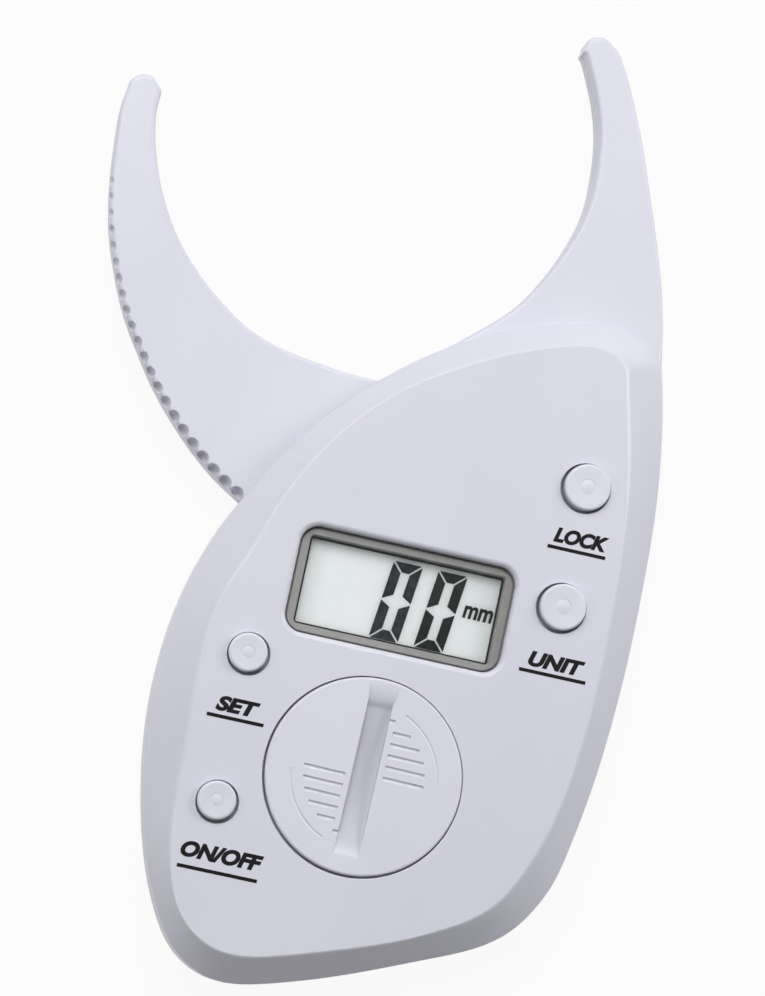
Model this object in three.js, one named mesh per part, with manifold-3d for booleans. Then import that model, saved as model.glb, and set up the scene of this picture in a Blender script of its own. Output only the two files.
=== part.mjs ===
// Skinfold caliper with a display: a fixed jaw moulded with the two housing shells, a swinging jaw,
// and the board, display, buttons and coin cell between the shells.
// Millimetres. The origin is where the jaw's pivot axis meets the back plane, +Z is the outward
// normal of the face, and +X is the display's reading direction. The jaws stand fully open.
import * as THREE from 'three';
import { mergeVertices } from 'three/addons/utils/BufferGeometryUtils.js';
import Module from 'manifold-3d';

const wasm = await Module();
wasm.setup();
const { degToRad } = THREE.MathUtils;
const { cos, sin, PI } = Math;

// Driving sizes
const jawReach = 77.6; // pivot axis to the middle of a contact face
const crown = 31.5; // body above the pivot axis
const displayDrop = 11.7; // pivot axis down to the window
const coverDrop = 4.46; // window down to the battery cover
const chin = 20.44; // body below the battery cover
const sideWidth = 19.3; // body on each side of the window
const contactAngle = degToRad(81.2); // direction of the fixed contact face, seen from the pivot
const openAngle = degToRad(54.6); // swing from closed to fully open

// Fits
const runGap = 0.3; // round what moves
const seatGap = 0.2; // under what rests
const overrun = 1; // how far a cut passes its face

// Shells
const wall = 2;
const floorThickness = 2;
const faceThickness = 2;
const slotLip = 1.6; // shell in front of and behind the swinging jaw
const seamGap = 0.3; // parting line between the shells
const backEdgeRadius = 2.2;
const borderEdgeRadius = 0.7;
const armEdgeRadius = 0.8;
const armTipShare = 0.635; // thickness of the fixed jaw at its tip, of that at its root
const lipHeight = 0.9;
const lipThickness = 0.9;
const lipTop = 12; // upper end of the lip, from the pivot axis

// Swinging jaw
const jawThickness = 6.6;
const thrustRingHeight = 0.9;
const thrustRingRadius = 9;
const thrustRingWidth = 3.2;
const contactLength = 2;
const hubRadius = 16.5;
const jawEdgeRadius = 0.8;
const slotSideGap = 0.5; // slot beside the swinging jaw
const flutePitch = 2.7;
const fluteRadius = 1.2;
const fluteDepth = 1.3;
const fluteRim = 2.6; // smooth rim left behind the flutes
const fluteStart = 24.3; // plain edge before the first flute, measured along it
const fluteEnd = 20; // plain edge after the last one
const fluteFadeShare = 0.6; // size that the flutes lose towards the tip
const tailRadius = 26;
const tailThickness = 2.5;
const tailHalfAngle = degToRad(15);

// Pivot
const pivotBossRadius = 4;
const pivotPilotDepth = 6.6;
const pivotShankRadius = 1.3;
const pivotHeadRadius = 3.6;
const pivotHeadHeight = 1.7;
const pivotWasherRadius = 7;
const pivotWasherThickness = 0.6;
const waveWasherRadius = 7.4;
const waveWasherWidth = 2.4;
const waveWasherThickness = 0.35;
const waveHeight = 0.08;

// Sensor
const rotorThickness = 0.6;
const rotorHubGap = 0.9;
const rotorMargin = 0.6; // tail that shows round the rotor
const sensorGap = 0.6; // rotor to main board

// Board and what it carries
const boardThickness = 1.2;
const boardEdgeGap = 0.6;
const boardHubGap = 1;
const boardTop = 9; // upper end of its arm, from the pivot axis
const boardPostRadius = 2.4;
const boardScrewShankRadius = 0.8;
const boardScrewHeadRadius = 1.9;
const boardScrewHeadHeight = 1.2;
const boardScrewBite = 4;
const chipRadius = 4;
const chipHeight = 1.5;
const crystalRadius = 1;
const crystalLength = 6;
const capacitorLength = 3.2;
const capacitorWidth = 1.8;
const capacitorHeight = 1.3;

// Display
const windowWidth = 35.4;
const windowHeight = 17.3;
const windowCorner = 3;
const windowRoll = 0.9; // soft edge of the housing round the window
const frameSide = 1.7; // window's edge to the grey frame's opening, left and right
const frameEnd = 1.5; // the same at top and bottom
const viewCorner = 1;
const viewSlope = 0.5; // widening of the grey frame's opening towards the front
const lensThickness = 1.1;
const lensRecess = 0.25; // lens below the raised face
const lensEdge = 0.2;
const holderWall = 1.2;
const holderFlange = 1.05; // holder wider than the window, on each side
const holderFlangeThickness = 1;
const holderLegWidth = 4;
const holderLegShare = -0.34; // place of the legs along the holder's height
const glassMargin = 0.3;
const glassThickness = 1.1;
const contactLedge = 1.4; // front glass that the back one leaves free
const stripMargin = 0.8; // view's edge to the end of the connector strip

// Buttons and their switches
const rightButtonRadius = 3.75;
const leftButtonRadius = 3.1;
const buttonHoleGap = 0.35;
const buttonHoleShift = 0.2; // hole off its cap, down and towards the body's middle
const buttonProud = 1;
const buttonEdge = 0.5;
const buttonFlangeWidth = 0.85;
const buttonFlangeThickness = 0.8;
const buttonFoot = 0.1; // stem behind the flange
const buttonRingShare = 0.62; // faint moulded ring on the cap
const buttonRingDepth = 0.25;
const buttonStemRadius = 1.6;
const buttonTravel = 0.5;
const switchSide = 6;
const switchBodyHeight = 3.5;
const switchWellDepth = 2.3;
const plungerRadius = 1.7;
const switchLegWidth = 0.8;
const switchLegLength = 1;
const switchLegThickness = 0.3;

// Battery and its cover
const cellRadius = 10;
const cellThickness = 3.2;
const cellSideGap = 0.4;
const cellRim = 1.2;
const cellStep = 0.3;
const springHeight = 0.9; // spring contact, board to cell
const stripMetal = 0.25;
const contactWidth = 4;
const contactFoot = 2.4;
const coverRim = 2.8; // cover beyond its lugs
const coverThickness = 2;
const coverPadHeight = 2; // pad that holds the cell down
const coverEdge = 0.4;
const coverPadRadius = 7;
const collarThickness = 0.8;
const lugThickness = 1;
const lugReach = 1.8;
const lugHalfAngle = degToRad(24);
const notchHalfAngle = degToRad(28);
const unlockAngle = degToRad(60);
const ledgeThickness = 1.8;
const wellWall = 1.5;
const coinSlotWidth = 4.1;
const coinSlotLength = 25.7;
const coinSlotDepth = 1.25;
const coinSlotTilt = degToRad(-1);
const gripDepth = 0.35;
const gripCount = 6; // grooves on each side of the coin slot
const gripPitch = 1.83;
const gripWidth = 0.6;
const gripStart = 0.35; // first groove, from the cover's middle
const gripGap = 0.9; // plain strip between the coin slot and the grooves
const gripRadius = 9.7; // outer ends of the grooves, from the cover's axis

// Housing screws
const screwPostRadius = 4.1;
const screwHeadRadius = 2.1;
const screwHeadHeight = 1.5;
const screwHeadRecess = 2.4;
const screwShankRadius = 1.1;
const screwLength = 6;
const armScrewLength = 4;
const screwPilotEnd = 0.3;
const driveWidth = 0.7;
const driveLength = 2.4;
const driveDepth = 0.8;

// Profiles: the border's as shares of its width and rise, the screw head's of its size,
// and the spring contact's of the cell's radius and the spring's rise
const borderRollShare = 0.06;
const shoulderShares = [0.84, 0.9];
const crestShares = [0.94, 0.985];
const screwCrownShares = [0.7, 0.55];
const screwTipShare = 0.4;
const slotReachShare = 0.58; // depth of the slot cut beside the jaw, of the reach
const armCoreShare = 0.876; // end of the fixed jaw's hollow, of the reach
const springPathShares = [[-0.7, 0], [-0.2, 0], [0.1, 0.45], [0.4, 0.95], [0.55, 1], [0.7, 0.7]];

// Outlines, seen from the front and listed counterclockwise, x as shares of the width and y of the length
const housingShares = [
  [0.441, 0.248], [0.331, 0.269], [0.169, 0.244], [0.007, 0.193], [-0.13, 0.126], [-0.255, 0.041],
  [-0.351, -0.053], [-0.414, -0.132], [-0.459, -0.229], [-0.476, -0.329], [-0.468, -0.436], [-0.431, -0.551],
  [-0.377, -0.642], [-0.305, -0.706], [-0.197, -0.731], [-0.027, -0.706], [0.178, -0.656], [0.358, -0.601],
  [0.449, -0.526], [0.489, -0.427], [0.515, -0.299], [0.526, -0.145], [0.518, 0.043], [0.481, 0.197],
];
// The raised face, station by station inside the housing's outline
const faceShares = [
  [0.364, 0.212], [0.291, 0.224], [0.173, 0.202], [0.041, 0.161], [-0.097, 0.102], [-0.205, 0.027],
  [-0.284, -0.06], [-0.332, -0.149], [-0.382, -0.235], [-0.389, -0.325], [-0.38, -0.436], [-0.377, -0.547],
  [-0.341, -0.632], [-0.276, -0.677], [-0.18, -0.69], [-0.027, -0.665], [0.169, -0.62], [0.314, -0.564],
  [0.382, -0.496], [0.428, -0.406], [0.451, -0.282], [0.453, -0.145], [0.436, 0.026], [0.389, 0.167],
];
// The jaws, both axes as shares of the reach, with the jaws closed
const armOuterShares = [
  [0.469, 0.219], [0.449, 0.342], [0.425, 0.471], [0.393, 0.583], [0.356, 0.69],
  [0.312, 0.811], [0.267, 0.915], [0.232, 0.98], [0.212, 1.001], [0.189, 1.014],
  [0.169, 1.012],
];
const armInnerShares = [
  [0.159, 0.967], [0.177, 0.931], [0.201, 0.876], [0.22, 0.81], [0.229, 0.728], [0.227, 0.644],
  [0.206, 0.565], [0.17, 0.484], [0.112, 0.393], [0.018, 0.304], [-0.064, 0.237],
];
const armRootShares = [[-0.02, 0.159], [0.386, 0.099]];
const jawInnerShares = [
  [0.122, 0.155], [0.051, 0.25], [-0.014, 0.365], [-0.048, 0.45], [-0.058, 0.528],
  [-0.054, 0.626], [-0.034, 0.72], [0.003, 0.806], [0.051, 0.88], [0.097, 0.932],
  [0.126, 0.955], [0.143, 0.966],
];
const jawTipShares = [
  [0.152, 1.012], [0.143, 1.022], [0.129, 1.029], [0.114, 1.03], [0.098, 1.022],
];
const jawOuterShares = [
  [0.056, 0.998], [-0.008, 0.946], [-0.072, 0.888], [-0.13, 0.824], [-0.179, 0.753],
  [-0.222, 0.678], [-0.256, 0.595], [-0.285, 0.508], [-0.305, 0.411], [-0.314, 0.32],
  [-0.311, 0.243], [-0.296, 0.127], [-0.257, 0.012], [-0.21, -0.053],
];

// Places on the face, x as shares of the width and y of the length
// Right buttons: x as a share of the side's width from the window, y of the length
const rightButtonShares = { hold: [0.415, 0.032], units: [0.415, -0.137] };
// Left buttons: x as a share of the way from the battery cover to the body's side, y as shares
// of the cover's radius from its axis
const leftButtonShares = { zero: [0.301, 0.967], power: [0.297, -0.545] };
const housingScrewShares = [[-0.277, -0.628], [0.331, -0.513], [-0.372, -0.21], [0.399, 0.171]];
const armScrewShare = [0.296, 0.67]; // both as shares of the reach
const boardScrewShares = [[0.412, -0.051], [-0.392, -0.393], [0.392, -0.359]];
const chipShare = [0.345, -0.423];
const crystalShare = [0.338, -0.236];
const capacitorShare = [0.335, -0.29];

const coverRadius = cellRadius + cellSideGap + collarThickness + lugReach + coverRim;
const tailAngle = -(PI + openAngle) / 2; // points straight down halfway through the swing
const viewWidth = windowWidth - 2 * frameSide;
const viewHeight = windowHeight - 2 * frameEnd;
const bodyWidth = windowWidth + 2 * sideWidth;
const displayAt = new THREE.Vector2(0, -displayDrop - windowHeight / 2);
const batteryAt = new THREE.Vector2(0, -displayDrop - windowHeight - coverDrop - coverRadius);
const bodyLength = crown - batteryAt.y + coverRadius + chin;

// Levels, from the back plane forward
const jawBack = floorThickness + thrustRingHeight + runGap;
const jawFront = jawBack + jawThickness;
const armBack = jawBack - runGap - slotLip;
const armFront = jawFront + runGap + slotLip;
const seam = (armBack + armFront) / 2;
const rotorBack = jawBack + tailThickness + seatGap;
const boardBack = rotorBack + rotorThickness + sensorGap;
const boardFront = boardBack + boardThickness;
const cellBack = boardFront + springHeight + 2 * seatGap;
const cellFront = cellBack + cellThickness;
const coverBack = cellFront + seatGap + coverPadHeight;
const bodyDepth = coverBack + coverThickness;
const faceInside = bodyDepth - faceThickness;
const lensBack = bodyDepth - lensRecess - lensThickness;
const holderFront = lensBack - seatGap;
const holderFlangeFront = faceInside - seatGap;
const glassFront = holderFlangeFront - holderFlangeThickness - seatGap;
const glassBack = glassFront - 2 * glassThickness;
const holderBack = jawFront + runGap + seatGap;
const plungerFront = faceInside - 2 * runGap - buttonFlangeThickness - buttonFoot;
const switchHeight = plungerFront - boardFront - seatGap;
const ledgeFront = coverBack - runGap;
const ledgeBack = ledgeFront - ledgeThickness;
const lugFront = ledgeBack - runGap;
const collarBack = lugFront - lugThickness;
const wellBack = boardFront + 2 * seatGap;
const waveWasherBack = jawFront + seatGap;
const pivotWasherBack = waveWasherBack + waveWasherThickness + 2 * waveHeight + seatGap;
const pivotHeadBack = pivotWasherBack + pivotWasherThickness + seatGap;
const displayWellWidth = windowWidth + 2 * holderFlange;
const displayWellHeight = windowHeight + 2 * holderFlange;

const onBody = ([x, y]) => new THREE.Vector2(x * bodyWidth, y * bodyLength);
const onJaw = ([x, y]) => new THREE.Vector2(x * jawReach, y * jawReach);
const onRing = (radius, angle) => new THREE.Vector2(radius * cos(angle), radius * sin(angle));

// A closed solid from a geometry
function solid(geometry) {
  geometry.deleteAttribute('normal');
  geometry.deleteAttribute('uv');
  const merged = mergeVertices(geometry);
  return new wasm.Manifold(new wasm.Mesh({
    numProp: 3,
    vertProperties: new Float32Array(merged.attributes.position.array),
    triVerts: new Uint32Array(merged.index.array),
  }));
}

function geometryOf(body) {
  const mesh = body.getMesh();
  const geometry = new THREE.BufferGeometry();
  geometry.setAttribute('position', new THREE.BufferAttribute(mesh.vertProperties, 3));
  geometry.setIndex(new THREE.BufferAttribute(mesh.triVerts, 1));
  return geometry;
}

// Equal steps from one value to another, both included
const stepsBetween = (from, to, count) => (
  Array.from({ length: count + 1 }, (_, i) => from + ((to - from) * i) / count)
);

const joined = (bodies) => bodies.reduce((whole, body) => whole.add(body));

// Closed skin over rings of equal counts, listed from back to front, with flat ends
function loft(rings) {
  const count = rings[0].points.length;
  const positions = rings.flatMap(({ points, z }) => points.flatMap(({ x, y }) => [x, y, z]));
  const index = [];
  for (let ring = 0; ring < rings.length - 1; ring += 1) {
    for (let i = 0; i < count; i += 1) {
      const a = ring * count + i;
      const b = ring * count + ((i + 1) % count);
      index.push(a, b, b + count, a, b + count, a + count);
    }
  }
  const last = (rings.length - 1) * count;
  for (const [a, b, c] of THREE.ShapeUtils.triangulateShape(rings[0].points, [])) index.push(c, b, a);
  for (const [a, b, c] of THREE.ShapeUtils.triangulateShape(rings.at(-1).points, [])) {
    index.push(last + a, last + b, last + c);
  }
  const geometry = new THREE.BufferGeometry();
  geometry.setAttribute('position', new THREE.BufferAttribute(new Float32Array(positions), 3));
  geometry.setIndex(index);
  return solid(geometry);
}

// A counterclockwise outline moved inward along its corners' bisectors
function inset(points, distance) {
  return points.map((point, i) => {
    const before = point.clone().sub(points.at(i - 1)).normalize();
    const after = points[(i + 1) % points.length].clone().sub(point).normalize();
    const inward = new THREE.Vector2(-before.y - after.y, before.x + after.x).normalize();
    const stretch = before.x * inward.y - before.y * inward.x;
    return point.clone().addScaledVector(inward, distance / stretch);
  });
}

const plate = (points, back, front) => loft([{ points, z: back }, { points, z: front }]);

// A plate whose edge is rounded at its front, and at its back too where both is set
function roundedPlate(points, back, front, radius, steps, both = true) {
  const rings = [{ points, z: both ? back + radius : back }, { points, z: front - radius }];
  for (const turn of stepsBetween(0, PI / 2, steps).slice(1)) {
    const edge = inset(points, radius * (1 - cos(turn)));
    rings.push({ points: edge, z: front - radius * (1 - sin(turn)) });
    if (both) rings.unshift({ points: edge, z: back + radius * (1 - sin(turn)) });
  }
  return loft(rings);
}

function disc(radius, back, front, sides = 24) {
  const geometry = new THREE.CylinderGeometry(radius, radius, front - back, sides);
  geometry.rotateX(PI / 2);
  geometry.translate(0, 0, (back + front) / 2);
  return solid(geometry);
}

// A turned solid about Z from a closed profile of radius and level
function turned(profile, sides) {
  const points = profile.map(([radius, z]) => new THREE.Vector2(radius, z));
  const geometry = new THREE.LatheGeometry([...points, points[0].clone()], sides);
  geometry.rotateX(PI / 2);
  return solid(geometry);
}

const ring = (inner, outer, back, front, sides = 24) => turned(
  [[inner, back], [outer, back], [outer, front], [inner, front]],
  sides,
);

function box(width, height, back, front) {
  const geometry = new THREE.BoxGeometry(width, height, front - back);
  geometry.translate(0, 0, (back + front) / 2);
  return solid(geometry);
}

function roundedRectangle(width, height, corner, steps = 4) {
  const points = [];
  for (let quarter = 0; quarter < 4; quarter += 1) {
    const x = (quarter === 0 || quarter === 3 ? 1 : -1) * (width / 2 - corner);
    const y = (quarter < 2 ? 1 : -1) * (height / 2 - corner);
    for (const share of stepsBetween(0, 1, steps)) {
      points.push(onRing(corner, ((quarter + share) * PI) / 2).add(new THREE.Vector2(x, y)));
    }
  }
  return points;
}

// Part of a ring between two angles
function sector(inner, outer, from, to, steps = 6) {
  const angles = stepsBetween(from, to, steps);
  return [
    ...angles.map((angle) => onRing(outer, angle)),
    ...angles.reverse().map((angle) => onRing(inner, angle)),
  ];
}

const moved = (body, { x, y }, z = 0) => body.translate([x, y, z]);
const turnedBy = (body, angle) => body.rotate([0, 0, THREE.MathUtils.radToDeg(angle)]);

// Housing outline at a share of the way from its edge to the raised face
function housingOutline(share, distance) {
  const along = (shares) => {
    const stations = shares.map(onBody).map(({ x, y }) => new THREE.Vector3(x, y, 0));
    const curve = new THREE.CatmullRomCurve3(stations, true, 'catmullrom', 0.5);
    return curve.getPoints(shares.length * 2).slice(0, -1);
  };
  const face = along(faceShares);
  const points = along(housingShares).map((edge, i) => {
    const point = edge.lerp(face[i], share);
    return new THREE.Vector2(point.x, point.y);
  });
  return inset(points, distance);
}

const smooth = (points, steps) => new THREE.SplineCurve(points).getPoints(points.length * steps);

// The contact face lies on a line from the pivot axis, so the two jaws meet flush
const contactIn = onRing(jawReach - contactLength / 2, contactAngle);
const contactOut = onRing(jawReach + contactLength / 2, contactAngle);

const armOutline = [
  ...smooth([...armOuterShares.map(onJaw), contactOut], 2),
  ...smooth([contactIn, ...armInnerShares.map(onJaw)], 2),
  ...armRootShares.map(onJaw),
];
const jawInnerEdge = smooth([...jawInnerShares.map(onJaw), contactIn], 2);
const jawOuterEdge = smooth([contactOut, ...[...jawTipShares, ...jawOuterShares].map(onJaw)], 2);
const jawOutline = [...jawInnerEdge, ...jawOuterEdge];

const materials = {
  shell: { color: 0xdcdbe6, roughness: 0.42, metalness: 0 },
  cover: { color: 0xd2d2de, roughness: 0.45, metalness: 0 },
  button: { color: 0xe4e3ea, roughness: 0.38, metalness: 0 },
  greyPlastic: { color: 0x7e7d80, roughness: 0.5, metalness: 0 },
  clear: { color: 0xe8efef, roughness: 0.08, metalness: 0, transparent: true, opacity: 0.25 },
  displayGlass: { color: 0xc9d2cf, roughness: 0.2, metalness: 0 },
  rubber: { color: 0x6f7480, roughness: 0.8, metalness: 0 },
  board: { color: 0x1f6a3c, roughness: 0.45, metalness: 0 },
  black: { color: 0x1b1b1d, roughness: 0.5, metalness: 0 },
  ceramic: { color: 0xb79a6a, roughness: 0.5, metalness: 0 },
  steel: { color: 0xb9bcc0, roughness: 0.3, metalness: 1 },
  copper: { color: 0xc08a4a, roughness: 0.35, metalness: 1 },
};

const caliper = new THREE.Group();

function place(name, body, material, group = caliper, at = null, z = 0) {
  const mesh = new THREE.Mesh(geometryOf(body), new THREE.MeshStandardMaterial(materials[material]));
  mesh.name = name;
  if (at) mesh.position.set(at.x, at.y, z);
  group.add(mesh);
}

// The fixed jaw thins evenly towards its tip, about the level halfway through it
const armMiddle = (armBack + armFront) / 2;
const armRoot = Math.min(...armRootShares.map((share) => onJaw(share).y));
const armThinning = (y) => 1 - ((1 - armTipShare) * (y - armRoot)) / (jawReach - armRoot);
const thinned = (body) => body.warp((point) => {
  point[2] = armMiddle + (point[2] - armMiddle) * armThinning(point[1]);
});

// Screws of the shells, each with the level that it goes in from
const armScrewAt = onJaw(armScrewShare);
const armScrewBack = armMiddle - (armMiddle - armBack) * armThinning(armScrewAt.y);
const housingScrews = [
  ...housingScrewShares.map((share) => ({ at: onBody(share), back: 0, length: screwLength })),
  { at: armScrewAt, back: armScrewBack, length: armScrewLength },
];
const boardScrews = boardScrewShares.map(onBody);
const besideCover = bodyWidth / 2 - coverRadius;
const buttonPlaces = [
  ...Object.entries(rightButtonShares).map(([name, [x, y]]) => (
    {
      name,
      radius: rightButtonRadius,
      at: new THREE.Vector2(windowWidth / 2 + x * sideWidth, y * bodyLength),
    })),
  ...Object.entries(leftButtonShares).map(([name, [x, y]]) => (
    {
      name,
      radius: leftButtonRadius,
      at: new THREE.Vector2(-coverRadius - x * besideCover, batteryAt.y + y * coverRadius),
    })),
];

// The space that the swinging jaw sweeps, from its closed inner edge to its open outer edge
function jawSweep() {
  const expanded = inset(jawOutline, -slotSideGap);
  const slotReach = slotReachShare * jawReach;
  const within = (point) => point.length() < slotReach;
  const inner = expanded.slice(0, jawInnerEdge.length).filter(within);
  const outer = expanded.slice(jawInnerEdge.length).filter(within)
    .map((point) => point.clone().rotateAround(new THREE.Vector2(), openAngle));
  const angles = stepsBetween(inner.at(-1).angle(), outer[0].angle(), 8);
  const end = angles.map((angle) => onRing(slotReach, angle));
  const outline = [new THREE.Vector2(), ...inner, ...end, ...outer];
  return plate(outline, jawBack - runGap, jawFront + runGap)
    .add(disc(hubRadius + slotSideGap, jawBack - runGap, jawFront + runGap, 48));
}

const sweep = jawSweep();

const armCore = inset(armOutline, wall).filter((point) => point.length() < armCoreShare * jawReach);

// Room inside the housing behind its raised face, and inside the fixed jaw
const innerRim = armFront - slotLip;
const cavity = loft([
  { points: housingOutline(0, wall), z: floorThickness },
  { points: housingOutline(0, wall), z: innerRim },
  { points: housingOutline(1, wall / 2), z: faceInside },
]).add(thinned(plate(armCore, armBack + wall, armFront - wall)));

const arm = thinned(roundedPlate(armOutline, armBack, armFront, armEdgeRadius, 2));
const beyond = bodyLength + jawReach;
const behindSeam = box(2 * beyond, 2 * beyond, -beyond, seam - seamGap / 2);
const beforeSeam = box(2 * beyond, 2 * beyond, seam + seamGap / 2, beyond);

const screwPosts = (radius) => joined(
  housingScrews.map(({ at }) => moved(disc(radius, 0, bodyDepth, 16), at)),
);

// Lip on the rear shell inside a rebate of the front one, below the jaws and clear of the screw posts
function lipRing(gap) {
  const bottom = seam - lipHeight;
  const top = seam + lipHeight + gap;
  const below = box(2 * beyond, beyond, bottom, top).translate([0, lipTop + gap - beyond / 2, 0]);
  return plate(housingOutline(0, wall - lipThickness - gap), bottom, top)
    .subtract(plate(housingOutline(0, wall + gap), bottom - overrun, top + overrun))
    .subtract(screwPosts(screwPostRadius + seamGap - gap))
    .intersect(below);
}

function rearHousing() {
  const edge = stepsBetween(0, PI / 2, 2).map((turn) => ({
    points: housingOutline(0, backEdgeRadius * (1 - sin(turn))),
    z: backEdgeRadius * (1 - cos(turn)),
  }));
  const outer = loft([...edge, { points: housingOutline(0, 0), z: seam }]).add(arm).intersect(behindSeam);
  let shell = outer.subtract(cavity).add(lipRing(0));
  shell = shell.add(ring(
    thrustRingRadius - thrustRingWidth,
    thrustRingRadius,
    floorThickness - overrun,
    floorThickness + thrustRingHeight,
  ));
  shell = shell.add(screwPosts(screwPostRadius).intersect(outer)).subtract(sweep);
  shell = shell.add(disc(pivotBossRadius, floorThickness - overrun, pivotWasherBack - seatGap, 32));
  const pilotBack = pivotHeadBack - pivotPilotDepth - seatGap;
  shell = shell.subtract(disc(pivotShankRadius + seatGap, pilotBack, bodyDepth, 16));
  for (const { at, back } of housingScrews) {
    const headRoom = disc(screwHeadRadius + runGap, back - overrun, back + screwHeadRecess, 16);
    shell = shell.subtract(moved(headRoom, at));
    shell = shell.subtract(moved(disc(screwShankRadius + runGap, 0, bodyDepth, 10), at));
  }
  return shell;
}

// Wall round the battery, with the ledge that the cover's lugs catch under
function batteryWell() {
  const collar = cellRadius + cellSideGap + collarThickness;
  const lugEnd = collar + lugReach;
  const outer = coverRadius + runGap + wellWall;
  const hole = turned([
    [0, wellBack - overrun],
    [cellRadius + cellSideGap, wellBack - overrun],
    [cellRadius + cellSideGap, collarBack - runGap],
    [lugEnd + runGap, collarBack - runGap],
    [lugEnd + runGap, ledgeBack],
    [collar + runGap, ledgeBack],
    [collar + runGap, ledgeFront],
    [coverRadius + runGap, ledgeFront],
    [coverRadius + runGap, bodyDepth + overrun],
    [0, bodyDepth + overrun],
  ], 36);
  const notch = plate(
    sector(cellRadius, lugEnd + runGap, -notchHalfAngle, notchHalfAngle),
    ledgeBack - overrun / 2,
    ledgeFront + overrun / 2,
  );
  const clipNotch = box(2 * contactFoot, contactWidth + 2 * runGap, wellBack - overrun, collarBack)
    .translate([cellRadius + contactFoot, 0, 0]);
  return {
    solid: moved(disc(outer, wellBack, bodyDepth - faceThickness / 2, 36), batteryAt),
    hole: moved(joined([
      hole,
      turnedBy(notch, unlockAngle),
      turnedBy(notch, unlockAngle + PI),
      clipNotch,
    ]), batteryAt),
  };
}

function frontHousing() {
  const rise = armFront - borderEdgeRadius;
  const outline = (share, z) => ({ points: housingOutline(share, 0), z });
  const outer = loft([
    outline(0, seam),
    outline(0, rise),
    outline(borderRollShare, armFront),
    outline(shoulderShares[0], armFront + shoulderShares[1] * (bodyDepth - armFront)),
    outline(crestShares[0], armFront + crestShares[1] * (bodyDepth - armFront)),
    outline(1, bodyDepth),
  ]).add(arm).intersect(beforeSeam);
  const well = batteryWell();
  const posts = joined([
    well.solid,
    screwPosts(screwPostRadius),
    ...boardScrews.map((at) => moved(disc(boardPostRadius, boardFront + seatGap, bodyDepth, 16), at)),
  ]).intersect(outer);
  let shell = outer.subtract(cavity).add(posts).subtract(well.hole);
  shell = shell.subtract(lipRing(seamGap)).subtract(sweep);
  for (const { at, back, length } of housingScrews) {
    const pilotEnd = back + screwHeadRecess + length + screwPilotEnd;
    shell = shell.subtract(moved(disc(screwShankRadius + seatGap, 0, pilotEnd, 10), at));
  }
  const boardPilotEnd = boardFront + boardScrewBite + screwPilotEnd;
  for (const at of boardScrews) {
    shell = shell.subtract(moved(disc(boardScrewShankRadius + seatGap, 0, boardPilotEnd, 10), at));
  }
  for (const { at, radius } of buttonPlaces) {
    const hole = disc(radius + buttonHoleGap, faceInside - overrun, bodyDepth + overrun, 20);
    const flangeRoom = disc(radius + buttonFlangeWidth + runGap, plungerFront, faceInside, 20);
    const shift = new THREE.Vector2(-Math.sign(at.x), -1).setLength(buttonHoleShift);
    shell = shell.subtract(moved(flangeRoom, at)).subtract(moved(hole, shift.add(at)));
  }
  const window = (spread, z) => ({
    points: roundedRectangle(windowWidth + 2 * spread, windowHeight + 2 * spread, windowCorner + spread),
    z,
  });
  return shell.subtract(moved(loft([
    window(0, faceInside - overrun),
    window(0, bodyDepth - windowRoll),
    window(windowRoll / 3, bodyDepth - windowRoll / 3),
    window(windowRoll, bodyDepth),
    window(windowRoll, bodyDepth + overrun),
  ]), displayAt));
}

function movingJaw() {
  const blade = roundedPlate(jawOutline, jawBack, jawFront, jawEdgeRadius, 2);
  const edge = new THREE.SplineCurve([...jawOuterEdge].reverse());
  const last = edge.getLength() - fluteEnd;
  const flutes = [];
  for (let along = fluteStart; along < last; along += flutePitch) {
    const share = along / edge.getLength();
    const size = 1 - (fluteFadeShare * (along - fluteStart)) / (last - fluteStart);
    const at = edge.getPointAt(share);
    const tangent = edge.getTangentAt(share);
    const outward = new THREE.Vector2(-tangent.y, tangent.x).multiplyScalar(size * (fluteRadius - fluteDepth));
    const rim = jawFront - size * (jawThickness - fluteRim);
    flutes.push(moved(disc(size * fluteRadius, rim, jawFront + overrun, 8), at.add(outward)));
  }
  const tail = sector(
    pivotBossRadius + 2 * runGap,
    tailRadius,
    tailAngle - tailHalfAngle,
    tailAngle + tailHalfAngle,
    8,
  );
  return blade
    .add(disc(hubRadius, jawBack, jawFront, 48))
    .add(plate(tail, jawBack, jawBack + tailThickness))
    .subtract(disc(pivotBossRadius + runGap, 0, bodyDepth, 32))
    .subtract(joined(flutes));
}

function sensorRotor() {
  const outer = tailRadius - rotorMargin;
  const half = tailHalfAngle - rotorMargin / outer;
  return plate(
    sector(hubRadius + rotorHubGap, outer, tailAngle - half, tailAngle + half, 8),
    rotorBack,
    rotorBack + rotorThickness,
  );
}

// A pan-head screw pointing forward, its seat at level 0 and a cross recess in its head
function screw(headRadius, headHeight, shankRadius, length) {
  const blank = turned([
    [0, -headHeight],
    [headRadius * screwCrownShares[0], -headHeight],
    [headRadius, -headHeight * screwCrownShares[1]],
    [headRadius, 0],
    [shankRadius, 0],
    [shankRadius, length - shankRadius],
    [shankRadius * screwTipShare, length],
    [0, length],
  ], 10);
  const size = headRadius / screwHeadRadius;
  const cross = [0, PI / 2].map((angle) => turnedBy(
    box(driveLength * size, driveWidth * size, -headHeight - overrun, -headHeight + driveDepth * size),
    angle,
  ));
  return blank.subtract(joined(cross));
}

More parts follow.
